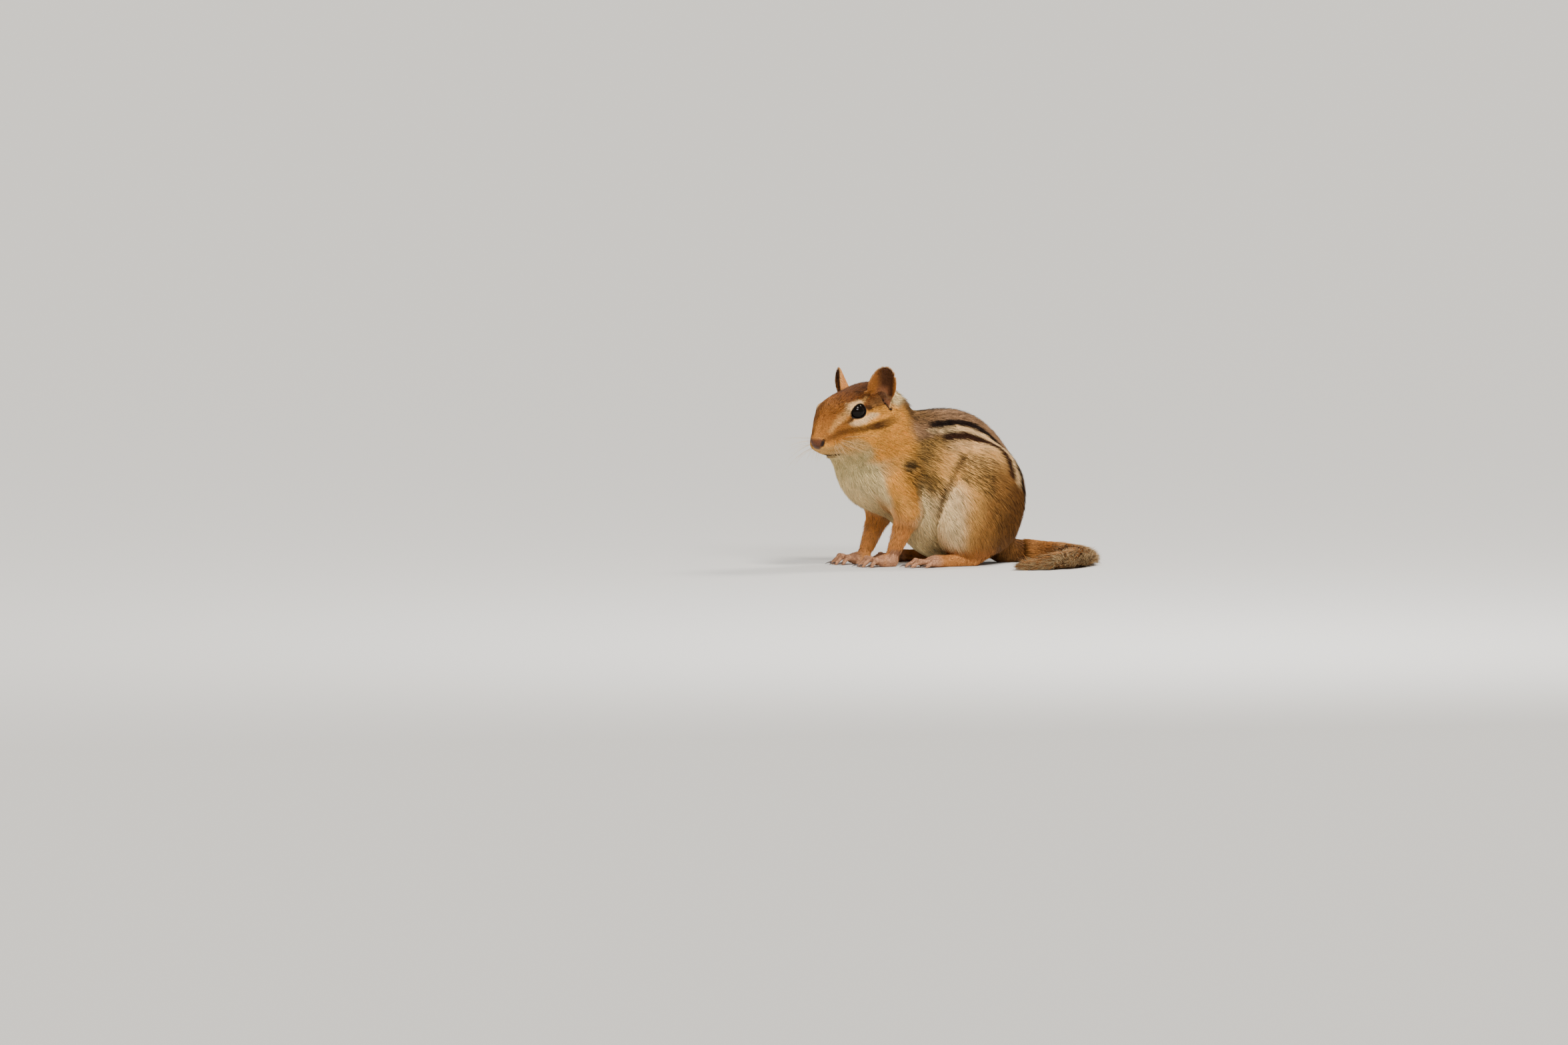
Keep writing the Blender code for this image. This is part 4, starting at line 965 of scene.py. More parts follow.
def head_colour(p):
    """Colours of the head, from its stripes to its nose."""
    q = into(HEAD, p)
    f, side, up = q[:, 0], np.abs(q[:, 1]), q[:, 2]
    rough, fine = noise(p, 4, 4), noise(p, 1.3, 5)
    f_soft, up_soft = f + 0.25 * fine, up + 0.3 * fine
    paint = Paint("ochre", len(p))
    lay = paint.lay
    top = smooth(1, 5, up_soft + 0.35 * (10 - side) - 0.3 * (f - 18) * (f > 18))
    lay("crown", top)
    lay("crown_side", 0.8 * top * smooth(16, 9, f + rough) * smooth(8.6, 10.2, up))
    lay("bridge", 0.85 * (smooth(15, 24, f) * smooth(-7.5, -3.5, up)))
    lay("nape", 0.6 * (smooth(14, 9, f) * smooth(3, 5, up) * smooth(9, 11, side)))
    edge = np.interp(f, MUZZLE_EDGE_AT, MUZZLE_EDGE)
    low = smooth(edge + 0.8, edge - 1.4, up_soft + 0.5 * rough)
    lay("muzzle", low * (0.75 + 0.25 * np.clip(fine, -1, 1)))
    lay("rust", 0.45 * smooth(22, 27, f) * band(up_soft, -2.6, 1, 0.8) * (side > 3))
    chin = smooth(-9.5, -14, up_soft + 0.5 * rough) * smooth(10.5, 16.5, f + 1.5 * rough)
    lay("throat", 0.9 * chin)

    def marking(line, halves, soft, shares=(1, 1)):
        return (side > 3.5) * line_share(line, halves, soft, f_soft, up_soft, shares)

    lay("cheek_line", marking(CHEEK_LINE, CHEEK_HALF, 0.9, CHEEK_SHARE))
    lay("rear_line", 0.8 * marking(REAR_LINE, REAR_HALF, 0.7))
    brow = marking(BROW_LINE, BROW_HALF, 0.9)
    lay("brow", 0.85 * brow)
    lay("cream", 0.7 * brow * smooth(22.5, 19.5, f) * smooth(11.5, 14, f))
    lay("cream", 0.95 * marking(UNDER_EYE_LINE, UNDER_EYE_HALF, 0.9))
    lay("rear_line", marking(FRONT_LINE, FRONT_HALF, 0.5, FRONT_SHARE))
    lay("nape", smooth(-1, -9, f + rough) * smooth(-3, 3, up))
    patch = np.hypot(np.hypot((f + 5.5) / 1.5, side - 11), up - 5.5)
    lay("white", 0.95 * smooth(5.4, 2.4, patch + 0.9 * fine + 0.5 * rough))
    return paint.colour


def bare_colour(lay, p, q):
    """Nose, nostrils, lips and lids, with painted shade on the pad's lower part, in the nostrils, the cleft
    and the mouth's line, and under the lower lip. Returns how bare the skin is.
    """
    f, up = q[:, 0], q[:, 2]
    pad = ellipsoid(q, *NOSE)
    bare = smooth(0.9, 0, pad + 0.2 * noise(p, 0.8, 7)) * smooth(-1.2, -3.4, up)
    bare = bare * smooth(31.4, 32.3, f - 0.5 * (up + 4))
    lay("nose", bare)
    # Painted shade: the nose pad darker towards its bottom.
    lay("nostril", 0.75 * bare * smooth(-4, -7, up))
    for side in SIDES:
        hole = groove(q, side, *NOSTRIL[:2], 1, NOSTRIL[3] * 1.3)
        # Painted shade in each nostril's hole.
        lay("nostril", smooth(0.15, 0.6, hole))
        past, along = past_opening(q, side)
        rim = smooth(0.65, 0.2, past) * smooth(5, 4.5, eye_distance(q, side)) * (along > 0)
        lay("lid", rim)
        bare = np.maximum(np.maximum(bare, smooth(0.3, 0.5, hole)), rim)
    # Painted shade in the cleft under the nose and along the mouth's line.
    lay("nostril", 0.6 * groove(q, "left", *PHILTRUM[:2], 1, PHILTRUM[3] * 1.4))
    lay("nostril", 0.9 * mouth_share(q))
    # Painted shade: a dark band just under the mouth's line, on the lower lip.
    lay("rear_line", 0.45 * (band(up, mouth_height(f) - 0.8, 0.7, 0.5) * smooth(23, 26.5, f)))
    return bare


def ear_hollow(q, side):
    """Distance outside the hollow at an ear's foot, and distance from the slit down it."""
    return side_capsule(q, side, *EAR_HOLLOW), side_capsule(q, side, *EAR_NOTCH[:2])


def ear_colour(lay, q):
    """Ears: dark inside, partly painted shade, with painted shade in the hollow, canal and slit at the
    foot, rusty at the front edge, pale at the rim. Returns how far a point is on one.
    """
    on_ear = np.zeros(len(q))
    for side in SIDES:
        _, sheet, outline, level, across = ear_place(q, side)
        here = smooth(1.6, 0.9, np.abs(sheet)) * smooth(1.4, 0.6, outline) * smooth(0.06, 0.2, level)
        inner = smooth(-0.1, 0.2, sheet) * here
        lay("ear_back", here)
        # Dark brown inside the ear, partly its own colour and partly painted shade.
        lay("ear_inner", inner)
        edge = np.maximum(smooth(0.5, -3.8, across + 1.5 * (level - 0.5)), smooth(3.8, 5.4, across))
        lay("ear_edge", 0.9 * inner * edge)
        middle = inner * smooth(3.4, 1, np.abs(across - 0.5))
        lay("ear_low", 0.7 * middle * smooth(0.5, 0.3, level))
        # Painted shade in the canal at the foot of the ear.
        lay("ear_deep", middle * smooth(0.26, 0.1, level))
        lay("ear_rim", 0.4 * here * smooth(-0.6, -0.15, outline) * smooth(0.4, 0.7, level))
        away, slit = ear_hollow(q, side)
        hollow = smooth(0.5, -0.4, away) * smooth(12, 10, q[:, 2]) * smooth(-0.9, -0.2, sheet)
        hollow_share = hollow * (1 - inner)
        # Painted shade: the hollow at the ear's foot darkened with the inner ear's dark brown.
        lay("ear_inner", 0.9 * hollow_share)
        lay("ear_low", 0.8 * hollow_share * smooth(7, 4, q[:, 2]))
        rear = line_share(EAR_REAR_LINE, EAR_REAR_HALF, 0.6, q[:, 0], q[:, 2])
        lay("ear_rim", 0.6 * (rear * (q[:, 1] * SIDES[side] > 9)))
        # Painted shade in the slit down the ear's notch.
        lay("ear_deep", smooth(1.4, 0.6, slit))
        on_ear = np.maximum(on_ear, np.maximum(here, hollow))
    return on_ear


def tail_colour(p):
    """Colours of the tail's skin: a rusty middle, darker towards both edges."""
    signed, share = tail_place(p)
    paint = Paint("tail_mid", len(p))
    paint.lay("tail_black", 0.55 * smooth(0.15, 0.4, share) * smooth(1, 3.5, np.abs(signed)))
    paint.lay("rump", smooth(0.2, 0.05, share))
    return paint.colour


def tail_share(p):
    """1 on the tail, 0 on the body."""
    signed, share = tail_place(p)
    near = smooth(9, 7, np.abs(signed)) * smooth(12, 10, p[:, 2])
    return near * smooth(0.02, 0.12, share)


def skin_colour(p, normal):
    """Colour at each point, how bare it is, and its share of ear."""
    q = into(HEAD, p)
    paint = body_colour(p, normal)
    on_head = smooth(-11, -5, q[:, 0] + 0.35 * q[:, 2]) * smooth(-19, -15, q[:, 2])
    paint.colour = between(paint.colour, head_colour(p), on_head[:, None])
    on_ear = ear_colour(paint.lay, q)
    bare = bare_colour(paint.lay, p, q)
    return between(paint.colour, tail_colour(p), tail_share(p)[:, None]), bare, on_ear


def placed(name, data):
    """A new object in the scene."""
    obj = bpy.data.objects.new(name, data)
    bpy.context.scene.collection.objects.link(obj)
    return obj


def mesh_object(name, points, triangles, colours=None, uvs=None):
    """An object from millimetre points and triangles, with a colour at each point."""
    data = bpy.data.meshes.new(name)
    data.vertices.add(len(points))
    data.vertices.foreach_set("co", ((points - SHIFT) * MM).astype(np.float32).ravel())
    data.loops.add(3 * len(triangles))
    data.loops.foreach_set("vertex_index", triangles.astype(np.int32).ravel())
    data.polygons.add(len(triangles))
    data.polygons.foreach_set("loop_start", np.arange(0, 3 * len(triangles), 3, dtype=np.int32))
    data.update(calc_edges=True)
    data.shade_smooth()
    if colours is not None:
        layer = data.color_attributes.new("shade", "FLOAT_COLOR", "POINT")
        full = np.concatenate((colours, np.ones((len(colours), 1))), 1)
        layer.data.foreach_set("color", full.astype(np.float32).ravel())
    if uvs is not None:
        layer = data.uv_layers.new(name="OFBake")
        layer.data.foreach_set("uv", uvs[triangles.ravel()].astype(np.float32).ravel())
    return placed(name, data)


def split_finer(data, wanted):
    """Splits the faces whose middles are wanted into four."""
    bm = bmesh.new()
    bm.from_mesh(data)
    middles = np.array([f.calc_center_median()[:] for f in bm.faces])
    chosen = wanted(middles)
    edges = {e for f, take in zip(bm.faces, chosen) if take for e in f.edges}
    bmesh.ops.subdivide_edges(bm, edges=list(edges), cuts=1, use_grid_fill=True)
    bmesh.ops.triangulate(bm, faces=[f for f in bm.faces if len(f.verts) > 4])
    bm.to_mesh(data)
    bm.free()


def points_of(data):
    flat = np.empty(3 * len(data.vertices), np.float32)
    data.vertices.foreach_get("co", flat)
    return flat.reshape(-1, 3).astype(float)


def near_detail(p):
    """Head, ears and feet, which are meshed finer than the trunk."""
    q = into(HEAD, p)
    head = (q[:, 0] > -8) & (q[:, 2] > -15)
    feet = (p[:, 2] < 7.5) & ((p[:, 1] < 12) | (np.abs(p[:, 0]) > 14)) & (p[:, 1] < 20)
    feet &= np.abs(p[:, 0]) > 4
    return head | feet


def near_fine_detail(p):
    """Lids, nose and mouth, which are meshed finest."""
    q = into(HEAD, p)
    fine = (q[:, 0] > 29) & (q[:, 2] > -10.5)
    fine |= (q[:, 0] > 20.5) & (np.abs(q[:, 2] - mouth_height(q[:, 0])) < 1)
    for side in SIDES:
        fine |= eye_distance(q, side) < 5.4
        fine |= groove(q, side, *EAR_NOTCH[:2], 1, 2) > 0.4
    return fine


def near_lid_edge(p):
    """The rims of the lids, which are meshed once more."""
    q = into(HEAD, p)
    fine = np.zeros(len(p), bool)
    for side in SIDES:
        past, along = past_opening(q, side)
        fine |= (np.abs(past) < 0.8) & (eye_distance(q, side) < 4.5) & (along > 0)
    return fine


def make_skin():
    """The skin's object, its points and triangles, and the normal and kind of hair at each point."""
    values = sample(skin_field, SKIN_LOW, SKIN_HIGH, SKIN_CELL)
    points, quads = surface_nets(values, SKIN_LOW, SKIN_CELL)
    data = bpy.data.meshes.new("skin")
    data.from_pydata(settled(skin_field, points).tolist(), [], quads.tolist())
    for wanted in (near_detail, near_fine_detail, near_lid_edge):
        split_finer(data, wanted)
        places = settled(skin_field, settled(skin_field, points_of(data)))
        data.vertices.foreach_set("co", places.astype(np.float32).ravel())
    places[:, 2] = np.maximum(places[:, 2], FLOOR_CLEARANCE)
    data.vertices.foreach_set("co", places.astype(np.float32).ravel())
    data.update()
    data.calc_loop_triangles()
    triangles = np.empty(3 * len(data.loop_triangles), np.int32)
    data.loop_triangles.foreach_get("vertices", triangles)
    triangles = triangles.reshape(-1, 3)
    bpy.data.meshes.remove(data)
    normals = point_normals(places, triangles)
    colours, bare, on_ear = skin_colour(places, normals)
    obj = mesh_object("skin", places, triangles, colours)
    layer = obj.data.attributes.new("bare", "FLOAT", "POINT")
    layer.data.foreach_set("value", np.maximum(bare, 0.5 * on_ear).astype(np.float32))
    return obj, places, triangles, normals, kinds_of(places, on_ear, bare)


def point_normals(points, triangles):
    a, b, c = (points[triangles[:, k]] for k in range(3))
    face = np.cross(b - a, c - a)
    normals = np.zeros_like(points)
    for k in range(3):
        np.add.at(normals, triangles[:, k], face)
    return unit(normals)


# Coat: a row for each kind of hair, with tufts to a square millimetre, length, half width and rise.
BODY_HAIR, HEAD_HAIR, FOOT_HAIR, EAR_HAIR, TAIL_HAIR = range(5)
NO_HAIR = -1
COAT = (
    (11.6, 5.4, 0.106, 1.7),
    (19, 3.1, 0.078, 1),
    (7.5, 1.1, 0.055, 0.2),
    (17, 0.75, 0.038, 0.22),
    (20, 10.5, 0.11, 3.2),
)
DENSITIES, LENGTHS, HALVES, RISES = np.array(COAT).T
FACE_HAIR_AT = (-6, 6, 15, 23, 31)
FACE_HAIR = (1.45, 1.1, 0.85, 0.62, 0.42)
COAT_SEED = 11
FLATNESS = 0.6
MIDDLE_AT = 0.42
ROOT_SINK = 0.25
PATCH = 0.003


def kinds_of(p, on_ear, bare):
    """Which kind of hair grows at each point."""
    q = into(HEAD, p)
    kind = np.full(len(p), BODY_HAIR)
    on_head = (q[:, 0] > -7) & (q[:, 2] > -16)
    kind[on_head] = HEAD_HAIR
    kind[on_foot(p)] = FOOT_HAIR
    kind[tail_share(p) > 0.5] = TAIL_HAIR
    kind[(on_ear > 0.4) & on_head] = EAR_HAIR
    kind[bare > 0.45] = NO_HAIR
    for side in SIDES:
        kind[ear_hollow(q, side)[1] < 1] = NO_HAIR
    return kind


def on_foot(p):
    found = np.zeros(len(p), bool)
    for side, front in FEET:
        q = foot_points(p, side, front)
        found |= (np.abs(q[:, 1]) < 9) & (q[:, 2] < 6.5) & (q[:, 0] > -3.5) & (q[:, 0] < 34)
    return found & (p[:, 1] < 16)


def scatter(points, triangles, kind, rng):
    """Random places on the skin: their triangles and weights, as many as each kind's density asks."""
    a, b, c = (points[triangles[:, k]] for k in range(3))
    area = np.linalg.norm(np.cross(b - a, c - a), axis=1) / 2
    wanted = area * np.append(DENSITIES, 0)[kind[triangles[:, 0]]]
    count = np.floor(wanted + rng.random(len(wanted))).astype(int)
    chosen = np.repeat(np.arange(len(triangles)), count)
    a, b = rng.random((2, len(chosen)))
    flip = a + b > 1
    a[flip], b[flip] = 1 - a[flip], 1 - b[flip]
    return chosen, np.stack((1 - a - b, a, b), 1)


def lie_of(p, normal, kind):
    """The way the hair points on the skin, before it is lifted."""
    q = into(HEAD, p)
    forward, left, up = HEAD[1]
    x, y, z = p.T
    steep = 0.62 + 0.5 * smooth(40, 22, z) * smooth(-2, 8, y)
    steep = steep + 0.5 * smooth(-20, -30, y) * smooth(52, 42, z)
    body = np.stack((0.1 * x / 20, 0.8 - 0.35 * smooth(30, 15, z), -steep), 1)
    arm = smooth(24, 17, z) * smooth(-8, -12, y)
    body = between(body, np.array((0, -0.2, -1.4)), arm[:, None])
    back = -forward[None] - (0.35 + 0.4 * smooth(0, -10, q[:, 2]))[:, None] * up[None]
    back = back + (0.25 * np.clip(q[:, 1] / 8, -1, 1))[:, None] * left[None]
    for side in SIDES:
        from_eye = q - on_side(EYE_CENTRE, side)
        push = 1.4 * np.exp(-((eye_distance(q, side) / 5.5) ** 2))
        back = back + push[:, None] * (unit(from_eye) @ HEAD[1])
    on_head = head_share(p)[:, None]
    lie = body * (1 - on_head) + back * on_head
    for hair, own in ((FOOT_HAIR, foot_lie(p)), (EAR_HAIR, ear_lie(q)), (TAIL_HAIR, tail_lie(p))):
        lie = np.where((kind == hair)[:, None], own, lie)
    swirl = np.stack([noise(p, 6, 20 + k) for k in range(3)], 1)
    lie = unit(lie) + 0.22 * swirl
    return unit(lie - (lie * normal).sum(1, keepdims=True) * normal)


def foot_lie(p):
    lie = np.zeros_like(p)
    for side, front in FEET:
        place = foot_frame(side, front)
        near = np.linalg.norm(p - out_of(place, (10, 0, 2)), axis=1) < 22
        lie[near & (np.sign(p[:, 0]) == SIDES[side]) & ((p[:, 1] < -14) == front)] = place[1][0]
    lie[np.abs(lie).sum(1) == 0] = (0, -1, 0)
    return lie - 0.25 * UP


def ear_lie(q):
    lie = np.zeros_like(q)
    for side, sign in SIDES.items():
        lie[np.sign(q[:, 1]) == sign] = (ear_axes(side) @ HEAD[1])[1]
    return lie


def tail_lie(p):
    """Along the tail, and spreading from its line to either side."""
    signed, share = tail_place(p)
    at = np.clip(share * (len(TAIL_POINTS) - 1), 0, len(TAIL_POINTS) - 2).astype(int)
    ahead = unit(TAIL_POINTS[at + 1] - TAIL_POINTS[at])
    outward = np.stack((-ahead[:, 1], ahead[:, 0]), 1) * (signed / 3.5)[:, None]
    spread = 0.85 * smooth(0.02, 0.25, share) * smooth(1.02, 0.9, share)
    level = ahead + outward * spread[:, None]
    return np.concatenate((level, np.zeros((len(p), 1))), 1)


def region_of(p, kind, q):
    """The name of the coat piece that each tuft belongs to."""
    upper, front = p[:, 2] > 34, p[:, 1] < -8
    haunch = (p[:, 1] > -5) & (np.abs(p[:, 0]) > 13)
    hairs = [kind == hair for hair in (HEAD_HAIR, FOOT_HAIR, EAR_HAIR, TAIL_HAIR)]
    names = ("head", "feet", "ear", "tail", "haunch", "shoulder", "back", "chest")
    part = np.select((*hairs, haunch, upper & front, upper, front), names, "belly")
    side = np.where(p[:, 0] > 0, "left", "right")
    side = np.where(hairs[0] | hairs[2], np.where(q[:, 1] > 0, "left", "right"), side)
    side = np.where(hairs[3], np.where(tail_place(p)[1] < 0.45, "near", "far"), side)
    return np.char.add(np.char.add(part, "_"), side)


def unwrap(p, region):
    """Each root's place on an unwrap of its region: angles and lengths over the skin's own shape."""
    if region.startswith("tail"):
        signed, share = tail_place(p)
        half = size_at(TAIL_CORE_WIDTHS, share)
        turn = np.arctan2(p[:, 2] - half, signed) / (2 * math.pi) + 0.5
        return np.stack((turn, share), 1)
    if region.startswith("ear"):
        q = into(HEAD, p)
        side = region.split("_")[1]
        _, sheet, _, level, across = ear_place(q, side)
        u = np.clip((across + 8) / 16, 0, 1) * 0.48 + np.where(sheet > 0, 0.51, 0.01)
        return np.stack((u, level), 1)
    low, high = p.min(0), p.max(0)
    middle = (low + high) / 2
    if region.startswith("feet"):
        turn = np.arctan2(p[:, 2] - 1.5, p[:, 0] - middle[0]) / (2 * math.pi) + 0.5
        return np.stack((turn, (p[:, 1] - low[1]) / (high[1] - low[1])), 1)
    out = unit(p - middle * (0.35, 1, 1))
    away = np.arccos(np.clip(np.abs(out[:, 0]), 0, 1)) / (math.pi / 2)
    turn = np.arctan2(out[:, 2], out[:, 1])
    back_side = out[:, 0] * np.sign(middle[0]) < 0
    away = np.where(back_side, 2 - away, away) / 2
    return 0.5 + 0.5 * np.stack((away * np.cos(turn), away * np.sin(turn)), 1)


def hair_sizes(p, kind, rng):
    """Length, half width and rise of each tuft, varied by place and at random."""
    q = into(HEAD, p)
    share = smooth(-14, -1, q[:, 0]) * smooth(-25, -11, q[:, 2])
    small = np.interp(q[:, 0], FACE_HAIR_AT, FACE_HAIR)
    forearm = smooth(26, 14, p[:, 2]) * smooth(-8, -12, p[:, 1])
    length = between(LENGTHS[BODY_HAIR] * (1 - 0.6 * forearm), LENGTHS[HEAD_HAIR] * small, share)
    head_half = HALVES[HEAD_HAIR] * (0.5 + 0.5 * small)
    half = between(HALVES[BODY_HAIR] * (1 - 0.35 * forearm), head_half, share)
    trunk = kind <= HEAD_HAIR
    length, half = np.where(trunk, length, LENGTHS[kind]), np.where(trunk, half, HALVES[kind])
    rise = np.where(trunk, coat_depth(p) * 0.9 + 0.13, RISES[kind])
    on_head = kind == HEAD_HAIR
    patch = np.hypot(np.hypot((q[:, 0] + 5) / 1.4, np.abs(q[:, 1]) - 11), q[:, 2] - 6)
    patch = smooth(5, 2.5, patch) * on_head
    length = length * (1 + 0.8 * patch)
    rise = rise * (1 + 0.5 * patch)
    for side in SIDES:
        away, slit = ear_hollow(q, side)
        short = smooth(4, 0.5, away) * smooth(-0.5, 1, q[:, 0])
        short = np.maximum(short, 1.15 * smooth(3.2, 1.6, slit))
        length = length * (1 - 0.72 * short * on_head)
        room = np.maximum(eye_distance(q, side) - EYE_RADIUS - 0.5, 0.25)
        length = np.minimum(length, np.where(on_head, 0.6 + 1.1 * room, length))
    end = smooth(0.88, 1, tail_place(p)[1]) * (kind == TAIL_HAIR)
    length = length * (1 - 0.4 * end)
    return np.stack((length, half, rise)) * rng.uniform(0.75, 1.25, (3, len(p)))


# Dark tufts: their share at each place, and elsewhere.
TICKS = {"shoulder": 0.45, "nape": 0.4, "crown": 0.34, "haunch_top": 0.6, "rump": 0.26}
OTHER_TICKS = 0.03


def tick_chance(p, kind):
    """How likely a tuft is to be a dark one."""
    q = into(HEAD, p)
    x, y, z = np.abs(p[:, 0]), p[:, 1], p[:, 2]
    crown = smooth(3, 7, q[:, 2]) * (kind == HEAD_HAIR) * smooth(10, 8, np.abs(q[:, 1]))
    top = smooth(32, 36, z + 0.5 * (y - 6)) * smooth(47.5, 44.5, z + 0.2 * (y - 6))
    places = {
        "shoulder": smooth(9, 3, along_line(SHOULDER_LINE, y, z)[0]),
        "nape": smooth(54, 60, z) * (kind == BODY_HAIR),
        "crown": crown,
        "haunch_top": top * smooth(13, 16, x) * smooth(1, 3.5, y) * smooth(20, 13, y),
        "rump": smooth(12, 20, y) * smooth(40, 30, z),
    }
    chance = OTHER_TICKS
    for name, share in places.items():
        chance = np.maximum(chance, TICKS[name] * share)
    return chance * (kind < FOOT_HAIR)


def tuft_colours(p, middle, normal, kind, rng):
    """Colours of each tuft at its root, middle and tip."""
    colour = skin_colour(middle, normal)[0]
    streak = 1 + 0.16 * noise(p, 1.2, 30) + 0.1 * noise(p, 3, 32) + rng.normal(0, 0.12, len(p))
    colour = colour * np.clip(streak, 0.6, 1.5)[:, None]
    dark = (rng.random(len(p)) < tick_chance(p, kind))[:, None]
    light = (rng.random(len(p)) < 0.16)[:, None]
    body = np.where(dark, colour * 0.32, colour * 0.94)
    tip = np.where(dark, colour * 0.12, np.where(light, colour * 1.25 + 0.02, colour * 1.06))
    shades = np.stack((colour * 0.66, body, tip), 1)
    on_tail = kind == TAIL_HAIR
    shades[on_tail] = tail_tuft_colours(p[on_tail], colour[on_tail], streak[on_tail], rng)
    return shades


def tail_tuft_colours(p, colour, streak, rng):
    """Hair of the tail: rusty at the root, black towards its end, and often pale at the tip."""
    signed, share = tail_place(p)
    edge = smooth(0.3, 2.8, np.abs(signed) + rng.normal(0, 0.9, len(p)))
    grown = smooth(0.06, 0.3, share)
    paint = Paint("tail_mid", len(p))
    paint.lay("tail_under", 0.4 + 0.4 * noise(p, 3, 31))
    rusty = between(colour, paint.colour * np.clip(streak, 0.6, 1.4)[:, None], grown[:, None])
    black = rng.random(len(p)) < 0.45 + 0.5 * edge
    body = mix(rusty, "tail_black", 0.9 * black * grown)
    pale = rng.random(len(p)) < 0.5
    tip = mix(body, "tail_tip", np.where(pale, 0.95, 0) * (0.35 + 0.65 * grown))
    return np.stack((rusty * 0.6, body, tip), 1)


def tuft_mesh(root, middle, tip, normal, half):
    """Points of closed spindles: the root, three round the middle, and the tip."""
    ahead = unit(tip - root)
    across = unit(np.cross(ahead, normal))
    over = np.cross(across, ahead)
    rows = [root]
    for angle in np.radians((90, 210, 330)):
        rows.append(middle + (across * math.cos(angle) + over * math.sin(angle) * FLATNESS) * half[:, None])
    points = np.stack(rows + [tip], 1)
    points[..., 2] = np.maximum(points[..., 2], 0.5 * FLOOR_CLEARANCE)
    start = 5 * np.arange(len(root))[:, None, None]
    faces = [(0, 2, 1), (4, 1, 2), (0, 3, 2), (4, 2, 3), (0, 1, 3), (4, 3, 1)]
    return points.reshape(-1, 3), (start + np.array(faces)[None]).reshape(-1, 3)


def held_over_skin(points, normal, height):
    """Points moved along their root's normal to a height over the skin."""
    off = height - skin_field(points)
    moved = points + normal * np.clip(off, -2.5, 2.5)[:, None]
    moved[:, 2] = np.maximum(moved[:, 2], FLOOR_CLEARANCE)
    return moved


def make_coat(points, triangles, normals, kind):
    """Every tuft of the coat, as one object for each region."""
    rng = np.random.default_rng(COAT_SEED)
    chosen, weights = scatter(points, triangles, kind, rng)
    corner = triangles[chosen]
    root = (points[corner] * weights[:, :, None]).sum(1)
    normal = unit((normals[corner] * weights[:, :, None]).sum(1))
    kind = kind[corner[:, 0]]
    keep = (root[:, 2] > 0.5) | (normal[:, 2] > -0.3)
    root, normal, kind = root[keep], normal[keep], kind[keep]
    length, half, rise = hair_sizes(root, kind, rng)
    lie = lie_of(root, normal, kind)
    across = np.cross(lie, normal)
    bend = 0.1 * noise(root, 1.3, 40) + 0.16 * noise(root, 3.5, 41) + rng.normal(0, 0.05, len(root))
    lie = unit(lie + across * bend[:, None])
    middle = root + lie * (MIDDLE_AT * length)[:, None]
    tip = root + lie * length[:, None] + across * (0.08 * length * bend)[:, None]
    middle, tip = place_tufts(middle, tip, normal, kind, rise, rng)
    sunk = root - normal * np.minimum(ROOT_SINK, 0.04 + 0.25 * rise)[:, None]
    clear = np.ones(len(root), bool)
    for side in SIDES:
        clear &= eye_distance(into(HEAD, tip), side) > EYE_RADIUS + 0.15
    tufts = (root, sunk, middle, tip, normal, half, kind)
    root, sunk, middle, tip, normal, half, kind = (values[clear] for values in tufts)
    shades = tuft_colours(root, (root + tip) / 2, normal, kind, rng)
    region = region_of(root, kind, into(HEAD, root))
    for name in np.unique(region):
        here = region == name
        places, faces = tuft_mesh(*(values[here] for values in (sunk, middle, tip, normal, half)))
        shade = np.repeat(shades[here], (1, 3, 1), axis=1).reshape(-1, 3)
        uvs = patches(unwrap(root[here], str(name)))
        yield mesh_object(f"coat_{name}", places, faces, shade, uvs)


def place_tufts(middle, tip, normal, kind, rise, rng):
    """Middles and tips held over the skin, with the tail's tips spread to its own outline."""
    lifted = rng.uniform(0.55, 1.2, len(tip))
    on_tail = kind == TAIL_HAIR
    middle = held_over_skin(middle, normal, np.where(on_tail, 0.4, 0.62) * rise)
    far = tip + normal * (rise * 0.45 * lifted)[:, None]
    far[:, 2] = np.maximum(far[:, 2], 0.3)
    return middle, np.where(on_tail[:, None], far, held_over_skin(tip, normal, rise * lifted))


def patches(places):
    """Map places for each tuft's five points, on a small patch at its root."""
    step = np.array(((0.5, 0), (0, 0.5), (0.5, 0.6), (1, 0.5), (0.5, 1))) - 0.5
    places = np.clip(places, PATCH, 1 - PATCH)
    return (places[:, None, :] + step[None] * PATCH).reshape(-1, 2)


def tube(points, radii, sides):
    """Points and triangles of a tapered tube that ends in a point."""
    ahead = unit(np.gradient(points, axis=0))
    start = UP if abs(ahead[0][2]) < 0.9 else np.array((1, 0, 0))
    across = unit(np.cross(ahead, start))
    over = np.cross(ahead, across)
    angles = (2 * math.pi * np.arange(sides) / sides)[None, :, None]
    ring = across[:, None] * np.cos(angles) + over[:, None] * np.sin(angles)
    places = (points[:, None] + ring * radii[:, None, None]).reshape(-1, 3)
    last = (len(points) - 1) * sides
    faces = [(0, k, k + 1) for k in range(1, sides - 1)]
    for i in range(0, last, sides):
        for k in range(sides):
            a, b = i + k, i + (k + 1) % sides
            faces += [(a, a + sides, b + sides), (a, b + sides, b)]
    faces += [(last, last + k + 1, last + k) for k in range(1, sides - 1)]
    return places, np.array(faces)


def joined(name, parts, colour):
    """One object of several tubes."""
    starts = np.cumsum([0] + [len(points) for points, _ in parts])
    points = np.concatenate([points for points, _ in parts])
    faces = np.concatenate([faces + start for (_, faces), start in zip(parts, starts)])
    return mesh_object(name, points, faces, np.tile(colour, (len(points), 1)))


